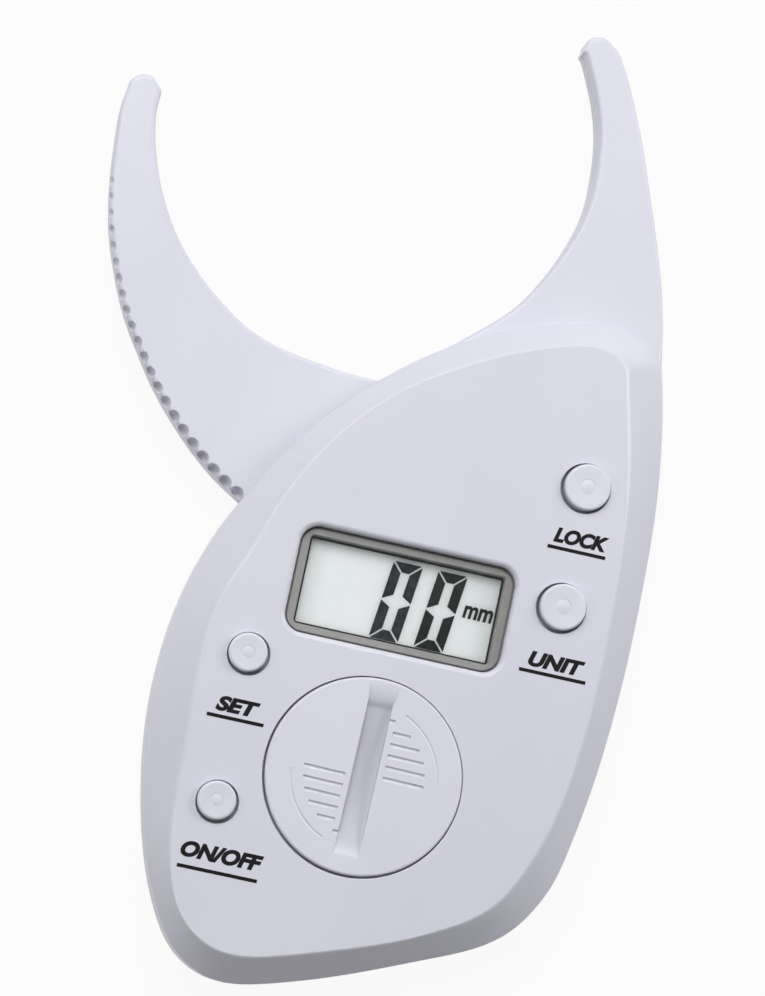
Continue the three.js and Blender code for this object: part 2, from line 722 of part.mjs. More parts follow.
function waveWasher() {
  const geometry = new THREE.LatheGeometry([
    [waveWasherRadius - waveWasherWidth, 0],
    [waveWasherRadius, 0],
    [waveWasherRadius, waveWasherThickness],
    [waveWasherRadius - waveWasherWidth, waveWasherThickness],
    [waveWasherRadius - waveWasherWidth, 0],
  ].map(([x, y]) => new THREE.Vector2(x, y)), 24);
  geometry.rotateX(PI / 2);
  const { position } = geometry.attributes;
  for (let i = 0; i < position.count; i += 1) {
    const angle = Math.atan2(position.getY(i), position.getX(i));
    position.setZ(i, position.getZ(i) + waveHeight * (1 + cos(3 * angle)));
  }
  return solid(geometry);
}

function mainBoard() {
  const limit = hubRadius + boardHubGap;
  const body = plate(housingOutline(0, wall + boardEdgeGap), boardBack, boardFront);
  const beside = box(beyond, beyond, 0, bodyDepth).translate([limit - beyond / 2, beyond / 2 - limit, 0]);
  const above = box(2 * beyond, beyond, 0, bodyDepth).translate([0, beyond / 2 + boardTop, 0]);
  const postHole = disc(screwPostRadius + boardEdgeGap, 0, bodyDepth, 16);
  const screwHole = disc(boardScrewShankRadius + seatGap, 0, bodyDepth, 12);
  return body.subtract(joined([
    beside,
    above,
    sweep,
    ...housingScrews.map(({ at }) => moved(postHole, at)),
    ...boardScrews.map((at) => moved(screwHole, at)),
  ]));
}

function chipBlob() {
  const dome = stepsBetween(0, PI / 2, 4).slice(0, -1).map((turn) => (
    [chipRadius * cos(turn), chipHeight * sin(turn)]
  ));
  return turned([[0, 0], ...dome, [0, chipHeight]], 16);
}

const lensOutline = roundedRectangle(
  windowWidth - 2 * runGap,
  windowHeight - 2 * runGap,
  windowCorner - runGap,
);

// Grey frame round the glass, which also holds the display on the board
function displayHolder() {
  const outline = roundedRectangle(displayWellWidth, displayWellHeight, windowCorner + holderFlange);
  const pocketFront = holderFlangeFront - holderFlangeThickness;
  const pocket = box(displayWellWidth - 2 * holderWall, displayWellHeight - 2 * holderWall, 0, pocketFront);
  const view = (spread, z) => ({
    points: roundedRectangle(viewWidth + 2 * spread, viewHeight + 2 * spread, viewCorner + spread),
    z,
  });
  const opening = loft([
    view(0, 0),
    view(0, pocketFront),
    view(viewSlope, holderFront),
    view(viewSlope, bodyDepth),
  ]);
  const leg = box(holderWall, holderLegWidth, boardFront + seatGap, holderBack + overrun);
  const legs = [-1, 1].map((side) => leg.translate([
    (side * (displayWellWidth - holderWall)) / 2,
    holderLegShare * displayWellHeight,
    0,
  ]));
  return plate(outline, holderBack, holderFlangeFront)
    .add(plate(lensOutline, holderFlangeFront - overrun / 2, holderFront))
    .subtract(pocket)
    .subtract(opening)
    .add(joined(legs));
}

function displayLens() {
  return roundedPlate(lensOutline, lensBack, lensBack + lensThickness, lensEdge, 1, false);
}

// Two glasses, the front one shorter so that the contact ledge faces the board's strip
function lcdPanel() {
  const width = displayWellWidth - 2 * (holderWall + glassMargin);
  const height = displayWellHeight - 2 * (holderWall + glassMargin);
  const front = box(width, height, glassBack + glassThickness, glassFront);
  const back = box(width, height - contactLedge, glassBack, glassBack + glassThickness)
    .translate([0, contactLedge / 2, 0]);
  return front.add(back);
}

function connectorStrip() {
  const y = -displayWellHeight / 2 + holderWall + glassMargin + contactLedge / 2;
  const front = glassBack + glassThickness - seatGap;
  return box(viewWidth - 2 * stripMargin, contactLedge, boardFront + seatGap, front).translate([0, y, 0]);
}

// Tact switch, standing on the board at level 0
function tactSwitch() {
  const legs = [-1, 1].flatMap((side) => [-1, 1].map((row) => box(
    switchLegLength + overrun,
    switchLegWidth,
    0,
    switchLegThickness,
  ).translate([
    side * (switchSide / 2 + (switchLegLength - overrun) / 2),
    row * (switchSide / 2 - switchLegWidth),
    0,
  ])));
  const corner = switchLegWidth / 2;
  return plate(roundedRectangle(switchSide, switchSide, corner, 1), 0, switchBodyHeight)
    .subtract(disc(plungerRadius + runGap, switchBodyHeight - switchWellDepth, switchHeight, 12))
    .add(joined(legs));
}

const switchPlunger = () => turned([
  [0, switchBodyHeight - switchWellDepth + buttonTravel + runGap],
  [plungerRadius, switchBodyHeight - switchWellDepth + buttonTravel + runGap],
  [plungerRadius, switchHeight - switchLegThickness],
  [plungerRadius - switchLegThickness, switchHeight],
  [0, switchHeight],
], 12);

// Button of a radius, standing on its plunger at level 0
function button(radius) {
  const top = bodyDepth + buttonProud - plungerFront;
  const flangeFront = faceInside - runGap - plungerFront;
  const flangeRadius = radius + buttonFlangeWidth;
  const ringRadius = radius * buttonRingShare;
  return turned([
    [0, runGap],
    [buttonStemRadius, runGap],
    [buttonStemRadius, flangeFront - buttonFlangeThickness],
    [flangeRadius, flangeFront - buttonFlangeThickness],
    [flangeRadius, flangeFront],
    [radius, flangeFront],
    [radius, top - buttonEdge],
    [radius - buttonEdge, top],
    [ringRadius + buttonRingDepth, top],
    [ringRadius, top - buttonRingDepth],
    [0, top - buttonRingDepth],
  ], 16);
}

// Battery cover with its axis at the origin
function batteryCover() {
  const inner = cellRadius + cellSideGap;
  const outer = inner + collarThickness;
  const shell = turned([
    [0, cellFront + seatGap],
    [coverPadRadius, cellFront + seatGap],
    [coverPadRadius, coverBack],
    [inner, coverBack],
    [inner, collarBack],
    [outer, collarBack],
    [outer, coverBack],
    [coverRadius, coverBack],
    [coverRadius, bodyDepth - coverEdge],
    [coverRadius - coverEdge, bodyDepth],
    [0, bodyDepth],
  ], 36);
  const lugOutline = sector(inner + collarThickness / 2, outer + lugReach, -lugHalfAngle, lugHalfAngle);
  const lug = plate(lugOutline, collarBack, lugFront);
  // The slot's floor is an arc that starts and ends at the front face
  const floorRadius = ((coinSlotLength / 2) ** 2 + coinSlotDepth ** 2) / (2 * coinSlotDepth);
  const floor = new THREE.CylinderGeometry(floorRadius, floorRadius, coinSlotWidth, 160);
  floor.rotateZ(PI / 2);
  floor.translate(0, 0, bodyDepth - coinSlotDepth + floorRadius);
  const slot = solid(floor);
  const fields = [0, PI].map((angle) => turnedBy(gripField(), angle));
  const cuts = turnedBy(joined([slot, ...fields]), coinSlotTilt);
  return shell.add(lug).add(turnedBy(lug, PI)).subtract(cuts);
}

// Finger grooves on one side of the coin slot
function gripField() {
  const groove = box(gripRadius, gripWidth, bodyDepth - gripDepth, bodyDepth + overrun);
  const left = coinSlotWidth / 2 + gripGap;
  const grooves = Array.from({ length: gripCount }, (_, i) => (
    groove.translate([left + gripRadius / 2, gripStart + i * gripPitch, 0])
  ));
  return joined(grooves).intersect(disc(gripRadius, 0, 2 * bodyDepth, 48));
}

function coinCell() {
  return turned([
    [0, cellBack],
    [cellRadius - cellRim, cellBack],
    [cellRadius - cellRim, cellBack + cellStep],
    [cellRadius, cellBack + cellStep],
    [cellRadius, cellFront - cellStep],
    [cellRadius - cellStep, cellFront],
    [0, cellFront],
  ], 20);
}

// A bent metal strip: a path in the XZ plane, given its thickness and its width along Y
function bentStrip(path, width) {
  const near = path.map(([x, z]) => new THREE.Vector2(x, z));
  const far = near.map((point, i) => {
    const along = near[Math.min(i + 1, near.length - 1)].clone().sub(near[Math.max(i - 1, 0)]).normalize();
    return point.clone().add(new THREE.Vector2(-along.y, along.x).multiplyScalar(stripMetal));
  });
  const shape = new THREE.Shape([...near, ...far.reverse()]);
  const geometry = new THREE.ExtrudeGeometry(shape, { depth: width, bevelEnabled: false });
  geometry.rotateX(PI / 2);
  geometry.translate(0, width / 2, 0);
  return solid(geometry);
}

function batterySpring() {
  const back = boardFront + seatGap;
  const rise = springHeight - stripMetal;
  return bentStrip(springPathShares.map(([x, z]) => [x * cellRadius, back + z * rise]), contactWidth);
}

function batteryClip() {
  const near = cellRadius + seatGap + stripMetal;
  const back = boardFront + seatGap;
  const top = collarBack - runGap;
  const foot = box(contactFoot, contactWidth, back, back + stripMetal)
    .translate([near + contactFoot / 2 - stripMetal, 0, 0]);
  const upright = box(stripMetal, contactWidth, back, top).translate([near - stripMetal / 2, 0, 0]);
  return foot.add(upright);
}

place('front_housing', frontHousing(), 'shell');
place('rear_housing', rearHousing(), 'shell');

const swing = new THREE.Group();
swing.rotation.z = openAngle;
place('moving_jaw', movingJaw(), 'shell', swing);
place('sensor_rotor', sensorRotor(), 'copper', swing);
caliper.add(swing);

place('wave_washer', waveWasher(), 'steel', caliper, new THREE.Vector2(), waveWasherBack);
const pivotWasher = ring(pivotShankRadius + seatGap, pivotWasherRadius, 0, pivotWasherThickness, 20);
place('pivot_washer', pivotWasher, 'steel', caliper, new THREE.Vector2(), pivotWasherBack);
const pivotScrew = screw(pivotHeadRadius, pivotHeadHeight, pivotShankRadius, pivotPilotDepth);
place('pivot_screw', pivotScrew.rotate([180, 0, 0]), 'steel', caliper, new THREE.Vector2(), pivotHeadBack);

place('main_board', mainBoard(), 'board');
place('chip_blob', chipBlob(), 'black', caliper, onBody(chipShare), boardFront + seatGap);
const crystalCan = new THREE.CylinderGeometry(crystalRadius, crystalRadius, crystalLength, 12);
const crystalLevel = boardFront + seatGap + crystalRadius;
place('crystal', solid(crystalCan), 'steel', caliper, onBody(crystalShare), crystalLevel);
place('capacitor', box(capacitorLength, capacitorWidth, 0, capacitorHeight), 'ceramic', caliper,
  onBody(capacitorShare), boardFront + seatGap);

place('display_holder', displayHolder(), 'greyPlastic', caliper, displayAt);
place('display_lens', displayLens(), 'clear', caliper, displayAt);
place('lcd_panel', lcdPanel(), 'displayGlass', caliper, displayAt);
place('lcd_connector_strip', connectorStrip(), 'rubber', caliper, displayAt);

for (const { name, radius, at } of buttonPlaces) {
  place(`${name}_switch`, tactSwitch(), 'black', caliper, at, boardFront + seatGap);
  place(`${name}_plunger`, switchPlunger(), 'greyPlastic', caliper, at, boardFront + seatGap);
  place(`${name}_button`, button(radius), 'button', caliper, at, plungerFront);
}

place('battery_cover', batteryCover(), 'cover', caliper, batteryAt);
place('coin_cell', coinCell(), 'steel', caliper, batteryAt);
place('battery_spring', batterySpring(), 'steel', caliper, batteryAt);
place('battery_clip', batteryClip(), 'steel', caliper, batteryAt);

const boardScrewLength = boardThickness + boardScrewBite;
boardScrews.forEach((at, i) => {
  const body = screw(boardScrewHeadRadius, boardScrewHeadHeight, boardScrewShankRadius, boardScrewLength);
  place(`board_screw_${i + 1}`, body, 'steel', caliper, at, boardBack - seatGap);
});
housingScrews.forEach(({ at, back, length }, i) => {
  const body = screw(screwHeadRadius, screwHeadHeight, screwShankRadius, length);
  place(`housing_screw_${i + 1}`, body, 'steel', caliper, at, back + screwHeadRecess - seatGap);
});

export default caliper;
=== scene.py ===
"""Looks of the skinfold caliper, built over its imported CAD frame.

Lengths are in millimetres until a piece is finished, which turns them into metres. The origin is
where the jaws' pivot axis meets the back plane, +Z leaves the face and +X is the reading direction.
"""

from math import atan, cos, pi, radians, sin, sqrt

import bmesh
import bpy
from mathutils import Matrix, Vector

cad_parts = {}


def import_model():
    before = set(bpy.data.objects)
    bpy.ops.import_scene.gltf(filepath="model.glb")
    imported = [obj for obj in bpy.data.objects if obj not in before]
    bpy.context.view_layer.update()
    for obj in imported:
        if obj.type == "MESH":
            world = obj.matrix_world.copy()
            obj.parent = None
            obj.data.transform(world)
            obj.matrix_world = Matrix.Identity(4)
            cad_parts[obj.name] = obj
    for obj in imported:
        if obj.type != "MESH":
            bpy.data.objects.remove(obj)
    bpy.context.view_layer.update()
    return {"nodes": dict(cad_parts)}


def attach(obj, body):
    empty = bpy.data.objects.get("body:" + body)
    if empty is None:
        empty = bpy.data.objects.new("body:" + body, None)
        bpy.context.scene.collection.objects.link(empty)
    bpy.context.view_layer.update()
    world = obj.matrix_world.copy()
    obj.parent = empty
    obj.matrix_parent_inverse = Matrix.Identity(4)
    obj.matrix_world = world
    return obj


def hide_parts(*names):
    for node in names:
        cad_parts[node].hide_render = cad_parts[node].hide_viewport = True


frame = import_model()

MM = 0.001

# Body and jaws
BODY_WIDTH = 74.0
BODY_LENGTH = 117.0
FACE = 17.0
FACE_INSIDE = 15.0
WALL = 2.0
FLOOR = 2.0
SLOT_LIP = 1.6
REACH = 77.6
CONTACT_ANGLE = radians(81.2)
CONTACT_LENGTH = 2.0
OPEN_ANGLE = radians(54.6)
ARM_BACK = 1.3
ARM_MIDDLE = 6.5
ARM_FRONT = 11.7
ARM_EDGE = 0.8
ARM_TIP_SHARE = 0.635
ARM_ROOT = 7.68
CORE_REACH = 0.876 * REACH
BORDER_EDGE = 0.7
BACK_EDGE = 2.2
SEAM = 6.5
SEAM_GAP = 0.3
SEAM_EDGE = 0.15
MOUTH_EDGE = 0.12
OVERLAP = 0.5

# Swinging jaw and the slot beside it
JAW_BACK = 3.2
JAW_FRONT = 9.8
JAW_EDGE = 0.8
HUB_RADIUS = 16.5
BOSS_BORE = 1.5
BOSS_RADIUS = 4.0
BOSS_FRONT = 10.51
THRUST_RING = (5.8, 9.0)
RUN_GAP = 0.3
SLOT_SIDE = 0.5
SLOT_REACH = 0.58 * REACH
FLUTE_START = 24.3
FLUTE_END = 20.0
FLUTE_PITCH = 2.7
FLUTE_RADIUS = 1.2
FLUTE_DEPTH = 1.3
FLUTE_HEIGHT = 2.5
FLUTE_LIP = 0.5
FLUTE_FADE = 0.6
FLUTE_SHRINK = 0.3
TAIL_RADIUS = 26.0
TAIL_THICKNESS = 2.5
TAIL_HALF_ANGLE = radians(15)

# Display
DISPLAY_AT = (0.0, -20.35)
WINDOW = (35.4, 17.3)
WINDOW_CORNER = 3.0
WINDOW_ROLL = 0.9
LENS_BACK = 15.65
LENS_THICKNESS = 1.1
LENS_EDGE = 0.2
VIEW = (32.0, 14.3)
VIEW_CORNER = 0.6
VIEW_SLOPE = 0.08
HOLDER_BACK = 10.3
HOLDER_FLANGE = 1.05
HOLDER_FLANGE_FRONT = 14.8
HOLDER_FRONT = 15.5
HOLDER_EDGE = 0.15
HOLDER_POCKET_FRONT = 13.8
HOLDER_WALL = 1.2
HOLDER_LEG_LENGTH = 4.0
HOLDER_LEG_Y = -6.6
HOLDER_LEG_BACK = 8.5
GLASS_FRONT = 13.6
# Painted shade of the gap between frame and glass: the dark ring's width on the glass, and how far it runs
# under the frame
SHADE_RING_WIDTH = 0.34
SHADE_RING_UNDER = 0.2

# Signs
INK = 0.02
DIGIT_WIDTH = 4.8
DIGIT_HEIGHT = 12.9
DIGIT_SLANT = radians(6.9)
DIGIT_X = (-0.4, 7.0)
DIGIT_Y = -0.3
STROKE = 1.65
STROKE_GAP = 0.2
LINE_HEIGHT = 0.58
LABELS = {
    "hold_label": ("LOCK", (26.5, -4.7), 9.0, 2.5, (26.1, -6.8), 9.6),
    "units_label": ("UNIT", (26.6, -25.1), 9.2, 2.5, (26.3, -27.15), 11.0),
    "zero_label": ("SET", (-21.9, -42.7), 7.0, 2.5, (-21.9, -44.8), 9.2),
    "power_label": ("ON/OFF", (-19.4, -66.2), 13.2, 2.6, (-19.6, -69.0), 12.9),
}

# Keys: place and radius
KEYS = {
    "hold": ((25.71, 3.74), 3.75),
    "units": ((25.71, -16.03), 3.75),
    "zero": ((-22.18, -33.98), 3.1),
    "power": ((-22.1, -57.87), 3.1),
}
KEY_TOP = 18.0
KEY_EDGE = 0.4
KEY_HOLE_GAP = 0.35
KEY_HOLE_SHIFT = 0.26
KEY_DISH_DEPTH = 0.1
KEY_RING_SHARE = 0.36
KEY_RING_DEPTH = 0.05
KEY_FLANGE_WIDTH = 0.85
KEY_FLANGE_FRONT = 14.7
KEY_FLANGE_BACK = 13.9
KEY_STEM_RADIUS = 1.6
KEY_FOOT = 13.8

# Battery cover and its well
COVER_AT = (0.0, -49.26)
COVER_RADIUS = 15.8
COVER_BACK = 15.0
COVER_EDGE = 0.4
COVER_PAD_RADIUS = 7.0
COVER_PAD_BACK = 13.0
CELL_ROOM = 10.4
COLLAR_RADIUS = 11.2
COLLAR_BACK = 11.6
LUG_RADIUS = 13.0
LUG_FRONT = 12.6
LUG_HALF_ANGLE = radians(24)
WELL_BACK = 8.7
WELL_RADIUS = 17.6
WELL_MOUTH = 16.04
WELL_MOUTH_SHIFT = 0.2
LEDGE_BACK = 12.9
LEDGE_FRONT = 14.7
COIN_SLOT_WIDTH = 4.1
COIN_SLOT_LENGTH = 25.7
COIN_SLOT_DEPTH = 1.5
COIN_SLOT_TILT = radians(-1)
COIN_SLOT_SHIFT = 1.0
COIN_SLOT_END = 1.4
GRIPS = 6
GRIP_PITCH = 1.83
GRIP_START = 0.35
GRIP_INNER = 2.95
GRIP_OUTER = 9.7
GRIP_RADIUS = 0.34
GRIP_ARC = 11.7

# Screws: place, level of the shell round the head, length under the head
SCREWS = {
    "housing_screw_1": ((-20.5, -73.48), 0.0, 6.0),
    "housing_screw_2": ((24.49, -60.02), 0.0, 6.0),
    "housing_screw_3": ((-27.53, -24.57), 0.0, 6.0),
    "housing_screw_4": ((29.53, 20.01), 0.0, 6.0),
    "housing_screw_5": ((22.97, 51.99), 2.5, 4.0),
}
SCREW_HEAD = 2.1
SCREW_HEAD_HEIGHT = 1.5
SCREW_SHANK = 1.1
SCREW_RECESS = 2.4
SCREW_LEAD = 0.25
SCREW_GAP = 0.3
SCREW_SEAT_GAP = 0.2
POST_RADIUS = 4.1
DRIVE_WIDTH = 0.7
DRIVE_LENGTH = 2.4
DRIVE_DEPTH = 0.8

# Studio
AMBIENT = 0.05
CAMERA_TARGET = Vector((-5.8, -4.5, 11.7))
CAMERA_AWAY = Vector((-0.0975, -0.1276, 0.9870))
CAMERA_DISTANCE = 600.0
CAMERA_ROLL = radians(12)
VIEW_HEIGHT = 160.65

# Outlines seen from the front, counterclockwise: the body's as shares of its width and length
HOUSING_SHARES = [
    (0.441, 0.248), (0.331, 0.269), (0.169, 0.244), (0.007, 0.193), (-0.13, 0.126), (-0.255, 0.041),
    (-0.351, -0.053), (-0.414, -0.132), (-0.459, -0.229), (-0.476, -0.329), (-0.468, -0.436),
    (-0.431, -0.551), (-0.377, -0.642), (-0.305, -0.706), (-0.197, -0.731), (-0.027, -0.706),
    (0.178, -0.656), (0.358, -0.601), (0.449, -0.526), (0.489, -0.427), (0.515, -0.299),
    (0.526, -0.145), (0.518, 0.043), (0.481, 0.197),
]
FACE_SHARES = [
    (0.364, 0.212), (0.291, 0.224), (0.173, 0.202), (0.041, 0.161), (-0.097, 0.102), (-0.205, 0.027),
    (-0.284, -0.06), (-0.332, -0.149), (-0.382, -0.235), (-0.389, -0.325), (-0.38, -0.436),
    (-0.377, -0.547), (-0.341, -0.632), (-0.276, -0.677), (-0.18, -0.69), (-0.027, -0.665),
    (0.169, -0.62), (0.314, -0.564), (0.382, -0.496), (0.428, -0.406), (0.451, -0.282),
    (0.453, -0.145), (0.436, 0.026), (0.389, 0.167),
]
# The jaws' as shares of the reach, with the jaws closed
ARM_OUTER_SHARES = [
    (0.469, 0.219), (0.449, 0.342), (0.425, 0.471), (0.393, 0.583), (0.356, 0.69),
    (0.312, 0.811), (0.267, 0.915), (0.232, 0.98), (0.212, 1.001), (0.189, 1.014),
    (0.169, 1.012),
]
ARM_INNER_SHARES = [
    (0.159, 0.967), (0.177, 0.931), (0.201, 0.876), (0.22, 0.81), (0.229, 0.728), (0.227, 0.644),
    (0.206, 0.565), (0.17, 0.484), (0.112, 0.393), (0.018, 0.304), (-0.064, 0.237),
]
ARM_ROOT_SHARES = [(-0.02, 0.159), (0.386, 0.099)]
JAW_INNER_SHARES = [
    (0.122, 0.155), (0.051, 0.25), (-0.014, 0.365), (-0.048, 0.45), (-0.058, 0.528),
    (-0.054, 0.626), (-0.034, 0.72), (0.003, 0.806), (0.051, 0.88), (0.097, 0.932),
    (0.126, 0.955), (0.143, 0.966),
]
JAW_TIP_SHARES = [
    (0.152, 1.012), (0.143, 1.022), (0.129, 1.029), (0.114, 1.03), (0.098, 1.022),
]
JAW_OUTER_SHARES = [
    (0.056, 0.998), (-0.008, 0.946), (-0.072, 0.888), (-0.13, 0.824), (-0.179, 0.753),
    (-0.222, 0.678), (-0.256, 0.595), (-0.285, 0.508), (-0.305, 0.411), (-0.314, 0.32),
    (-0.311, 0.243), (-0.296, 0.127), (-0.257, 0.012), (-0.21, -0.053),
]
# Border profile: share of the way to the raised face, share of the rise to it
BORDER_SHARES = [
    (0.06, 0.0), (0.2, 0.155), (0.4, 0.385), (0.6, 0.625), (0.75, 0.8), (0.84, 0.9), (0.89, 0.947),
    (0.93, 0.976), (0.965, 0.993), (1.0, 1.0),
]
BODY_STEPS = 8
JAW_STEPS = 6
UNCROSSINGS = 12


# Outlines

def spline(points, steps, closed=False):
    """Smooth line through the points."""
    points = [Vector(point) for point in points]
    count = len(points)
    line = []
    for i in range(count if closed else count - 1):
        near = [i + k if closed else min(max(i + k, 0), count - 1) for k in (-1, 0, 1, 2)]
        a, b, c, d = (points[k % count] for k in near)
        for step in range(steps):
            t = step / steps
            line.append(0.5 * (2 * b + (c - a) * t + (2 * a - 5 * b + 4 * c - d) * t * t
                               + (3 * b - a - 3 * c + d) * t ** 3))
    return line if closed else line + [points[-1]]


def inset(points, distance):
    """A counterclockwise outline moved inward along its corners' bisectors, with crossed corners merged."""
    line = []
    for i, point in enumerate(points):
        before = (point - points[i - 1]).normalized()
        after = (points[(i + 1) % len(points)] - point).normalized()
        inward = Vector((-before.y - after.y, before.x + after.x)).normalized()
        line.append(point + inward * (distance / (before.x * inward.y - before.y * inward.x)))
    for _ in range(UNCROSSINGS):
        for i, point in enumerate(points):
            if (line[i] - line[i - 1]).dot(point - points[i - 1]) < 0:
                line[i] = line[i - 1] = (line[i] + line[i - 1]) / 2
    return line


def scaled(shares, width, length):
    return [Vector((x * width, y * length)) for x, y in shares]


def turned_by(points, angle):
    spin = Matrix.Rotation(angle, 2)
    return [spin @ point for point in points]


def on_ring(radius, angle):
    return Vector((radius * cos(angle), radius * sin(angle)))


def circle(radius, segments=64):
    return [on_ring(radius, 2 * pi * i / segments) for i in range(segments)]


def sector(inner, outer, start, end, steps=12):
    angles = [start + (end - start) * i / steps for i in range(steps + 1)]
    return [on_ring(outer, a) for a in angles] + [on_ring(inner, a) for a in reversed(angles)]


def rounded_rectangle(width, height, corner, steps=10):
    points = []
    for quadrant, (side, end) in enumerate(((1, 1), (-1, 1), (-1, -1), (1, -1))):
        centre = Vector((side * (width / 2 - corner), end * (height / 2 - corner)))
        for step in range(steps + 1):
            points.append(centre + on_ring(corner, (quadrant + step / steps) * pi / 2))
    return points


def quarter(radius, steps=6):
    """Rounding: distance in from the side, and up from where the rounding starts."""
    turns = [i * pi / 2 / steps for i in range(1, steps + 1)]
    return [(radius * (1 - cos(t)), radius * sin(t)) for t in turns]


EDGE_LINE = spline(scaled(HOUSING_SHARES, BODY_WIDTH, BODY_LENGTH), BODY_STEPS, closed=True)
FACE_LINE = spline(scaled(FACE_SHARES, BODY_WIDTH, BODY_LENGTH), BODY_STEPS, closed=True)
CONTACT = [on_ring(REACH + side * CONTACT_LENGTH / 2, CONTACT_ANGLE) for side in (-1, 0, 1)]
ARM_LINE = [
    *spline([*scaled(ARM_OUTER_SHARES, REACH, REACH), *reversed(CONTACT),
             *scaled(ARM_INNER_SHARES, REACH, REACH)], JAW_STEPS),
    *scaled(ARM_ROOT_SHARES, REACH, REACH),
]
JAW_LINE = spline([*scaled(JAW_INNER_SHARES, REACH, REACH), *CONTACT,
                   *scaled(JAW_TIP_SHARES + JAW_OUTER_SHARES, REACH, REACH)], JAW_STEPS)
JAW_TURN = JAW_STEPS * (len(JAW_INNER_SHARES) + 2)
LENS_LINE = rounded_rectangle(WINDOW[0] - 2 * RUN_GAP, WINDOW[1] - 2 * RUN_GAP, WINDOW_CORNER - RUN_GAP)
VIEW_LINE = rounded_rectangle(*VIEW, VIEW_CORNER)


def body_line(share, distance=0.0):
    """The body's outline, a share of the way from its edge to the raised face."""
    return inset([a.lerp(b, share) for a, b in zip(EDGE_LINE, FACE_LINE)], distance)


# Meshes

def ring_edges(mesh, ring):
    return [mesh.edges.get((a, b)) for a, b in zip(ring, ring[1:] + ring[:1])]


def loft(sections):
    """A closed body through matched outlines, each with its level, from back to front."""
    mesh = bmesh.new()
    points, level = sections[0]
    ring = [mesh.verts.new((point.x, point.y, level)) for point in points]
    for a, b in zip(ring, ring[1:] + ring[:1]):
        mesh.edges.new((a, b))
    back = ring
    for points, level in sections[1:]:
        grown = bmesh.ops.extrude_edge_only(mesh, edges=ring_edges(mesh, ring))["geom"]
        fresh = {item for item in grown if isinstance(item, bmesh.types.BMVert)}
        ring = [next(e.other_vert(v) for e in v.link_edges if e.other_vert(v) in fresh) for v in ring]
        for vertex, point in zip(ring, points):
            vertex.co = (point.x, point.y, level)
    for end in (back, ring):
        bmesh.ops.contextual_create(mesh, geom=ring_edges(mesh, end))
    bmesh.ops.recalc_face_normals(mesh, faces=mesh.faces)
    return mesh


def plate(points, back, front):
    return loft([(points, back), (points, front)])


def box(width, height, back, front):
    corners = ((1, 1), (-1, 1), (-1, -1), (1, -1))
    return plate([Vector((x * width / 2, y * height / 2)) for x, y in corners], back, front)


def rounded_plate(points, back, front, radius, steps=5, front_only=False):
    """A plate with rounded edges."""
    turns = [step * pi / 2 / steps for step in range(1, steps + 1)]
    rise = [(inset(points, radius * (1 - cos(t))), front - radius * (1 - sin(t))) for t in turns]
    drop = [(ring, back + front - level) for ring, level in reversed(rise)]
    foot = [(points, back)] if front_only else [*drop, (points, back + radius)]
    return loft([*foot, (points, front - radius), *rise])


def turned(profile, segments=96):
    """A body turned about Z from a profile of radius and level, listed from the back outward."""
    mesh = bmesh.new()
    line = [mesh.verts.new((radius, 0, level)) for radius, level in profile]
    edges = [mesh.edges.new(pair) for pair in zip(line, line[1:])]
    if min(radius for radius, _ in profile) > 0:
        edges.append(mesh.edges.new((line[-1], line[0])))
    bmesh.ops.spin(mesh, geom=line + edges, axis=(0, 0, 1), cent=(0, 0, 0), angle=2 * pi,
                   steps=segments, use_merge=True)
    bmesh.ops.remove_doubles(mesh, verts=mesh.verts, dist=1e-5)
    bmesh.ops.recalc_face_normals(mesh, faces=mesh.faces)
    return mesh


def disc(radius, back, front, segments=64):
    return turned([(0, back), (radius, back), (radius, front), (0, front)], segments)


def tube(inner, outer, back, front, segments=64):
    return turned([(inner, back), (outer, back), (outer, front), (inner, front)], segments)


def rod(start, end, radius, segments=16):
    """A round rod between two points."""
    start, end = Vector(start), Vector(end)
    mesh = bmesh.new()
    turn = (end - start).to_track_quat("Z", "Y").to_matrix().to_4x4()
    place = Matrix.Translation((start + end) / 2) @ turn
    bmesh.ops.create_cone(mesh, cap_ends=True, segments=segments, radius1=radius, radius2=radius,
                          depth=(end - start).length, matrix=place)
    return mesh


def moved(mesh, at, level=0.0, angle=0.0):
    place = Matrix.Translation((*at[:2], level)) @ Matrix.Rotation(angle, 4, "Z")
    bmesh.ops.transform(mesh, matrix=place, verts=mesh.verts)
    return mesh


def heap(meshes):
    """Several bodies in one mesh, without joining them."""
    whole = bpy.data.meshes.new("heap")
    mesh = bmesh.new()
    for part in meshes:
        part.to_mesh(whole)
        part.free()
        mesh.from_mesh(whole)
    bpy.data.meshes.remove(whole)
    return mesh


def as_object(mesh, name):
    data = bpy.data.meshes.new(name)
    mesh.to_mesh(data)
    mesh.free()
    thing = bpy.data.objects.new(name, data)
    bpy.context.scene.collection.objects.link(thing)
    return thing


def worked(mesh, tool, operation="DIFFERENCE"):
    """One body after another has been cut from it or joined to it."""
    body, other = as_object(mesh, "body"), as_object(tool, "tool")
    change = body.modifiers.new(operation, "BOOLEAN")
    change.operation = operation
    change.solver = "EXACT"
    change.object = other
    shaped = bpy.data.meshes.new_from_object(body.evaluated_get(bpy.context.evaluated_depsgraph_get()))
    result = bmesh.new()
    result.from_mesh(shaped)
    for thing in (body, other):
        data = thing.data
        bpy.data.objects.remove(thing)
        bpy.data.meshes.remove(data)
    bpy.data.meshes.remove(shaped)
    bmesh.ops.remove_doubles(result, verts=result.verts, dist=1e-4)
    return result


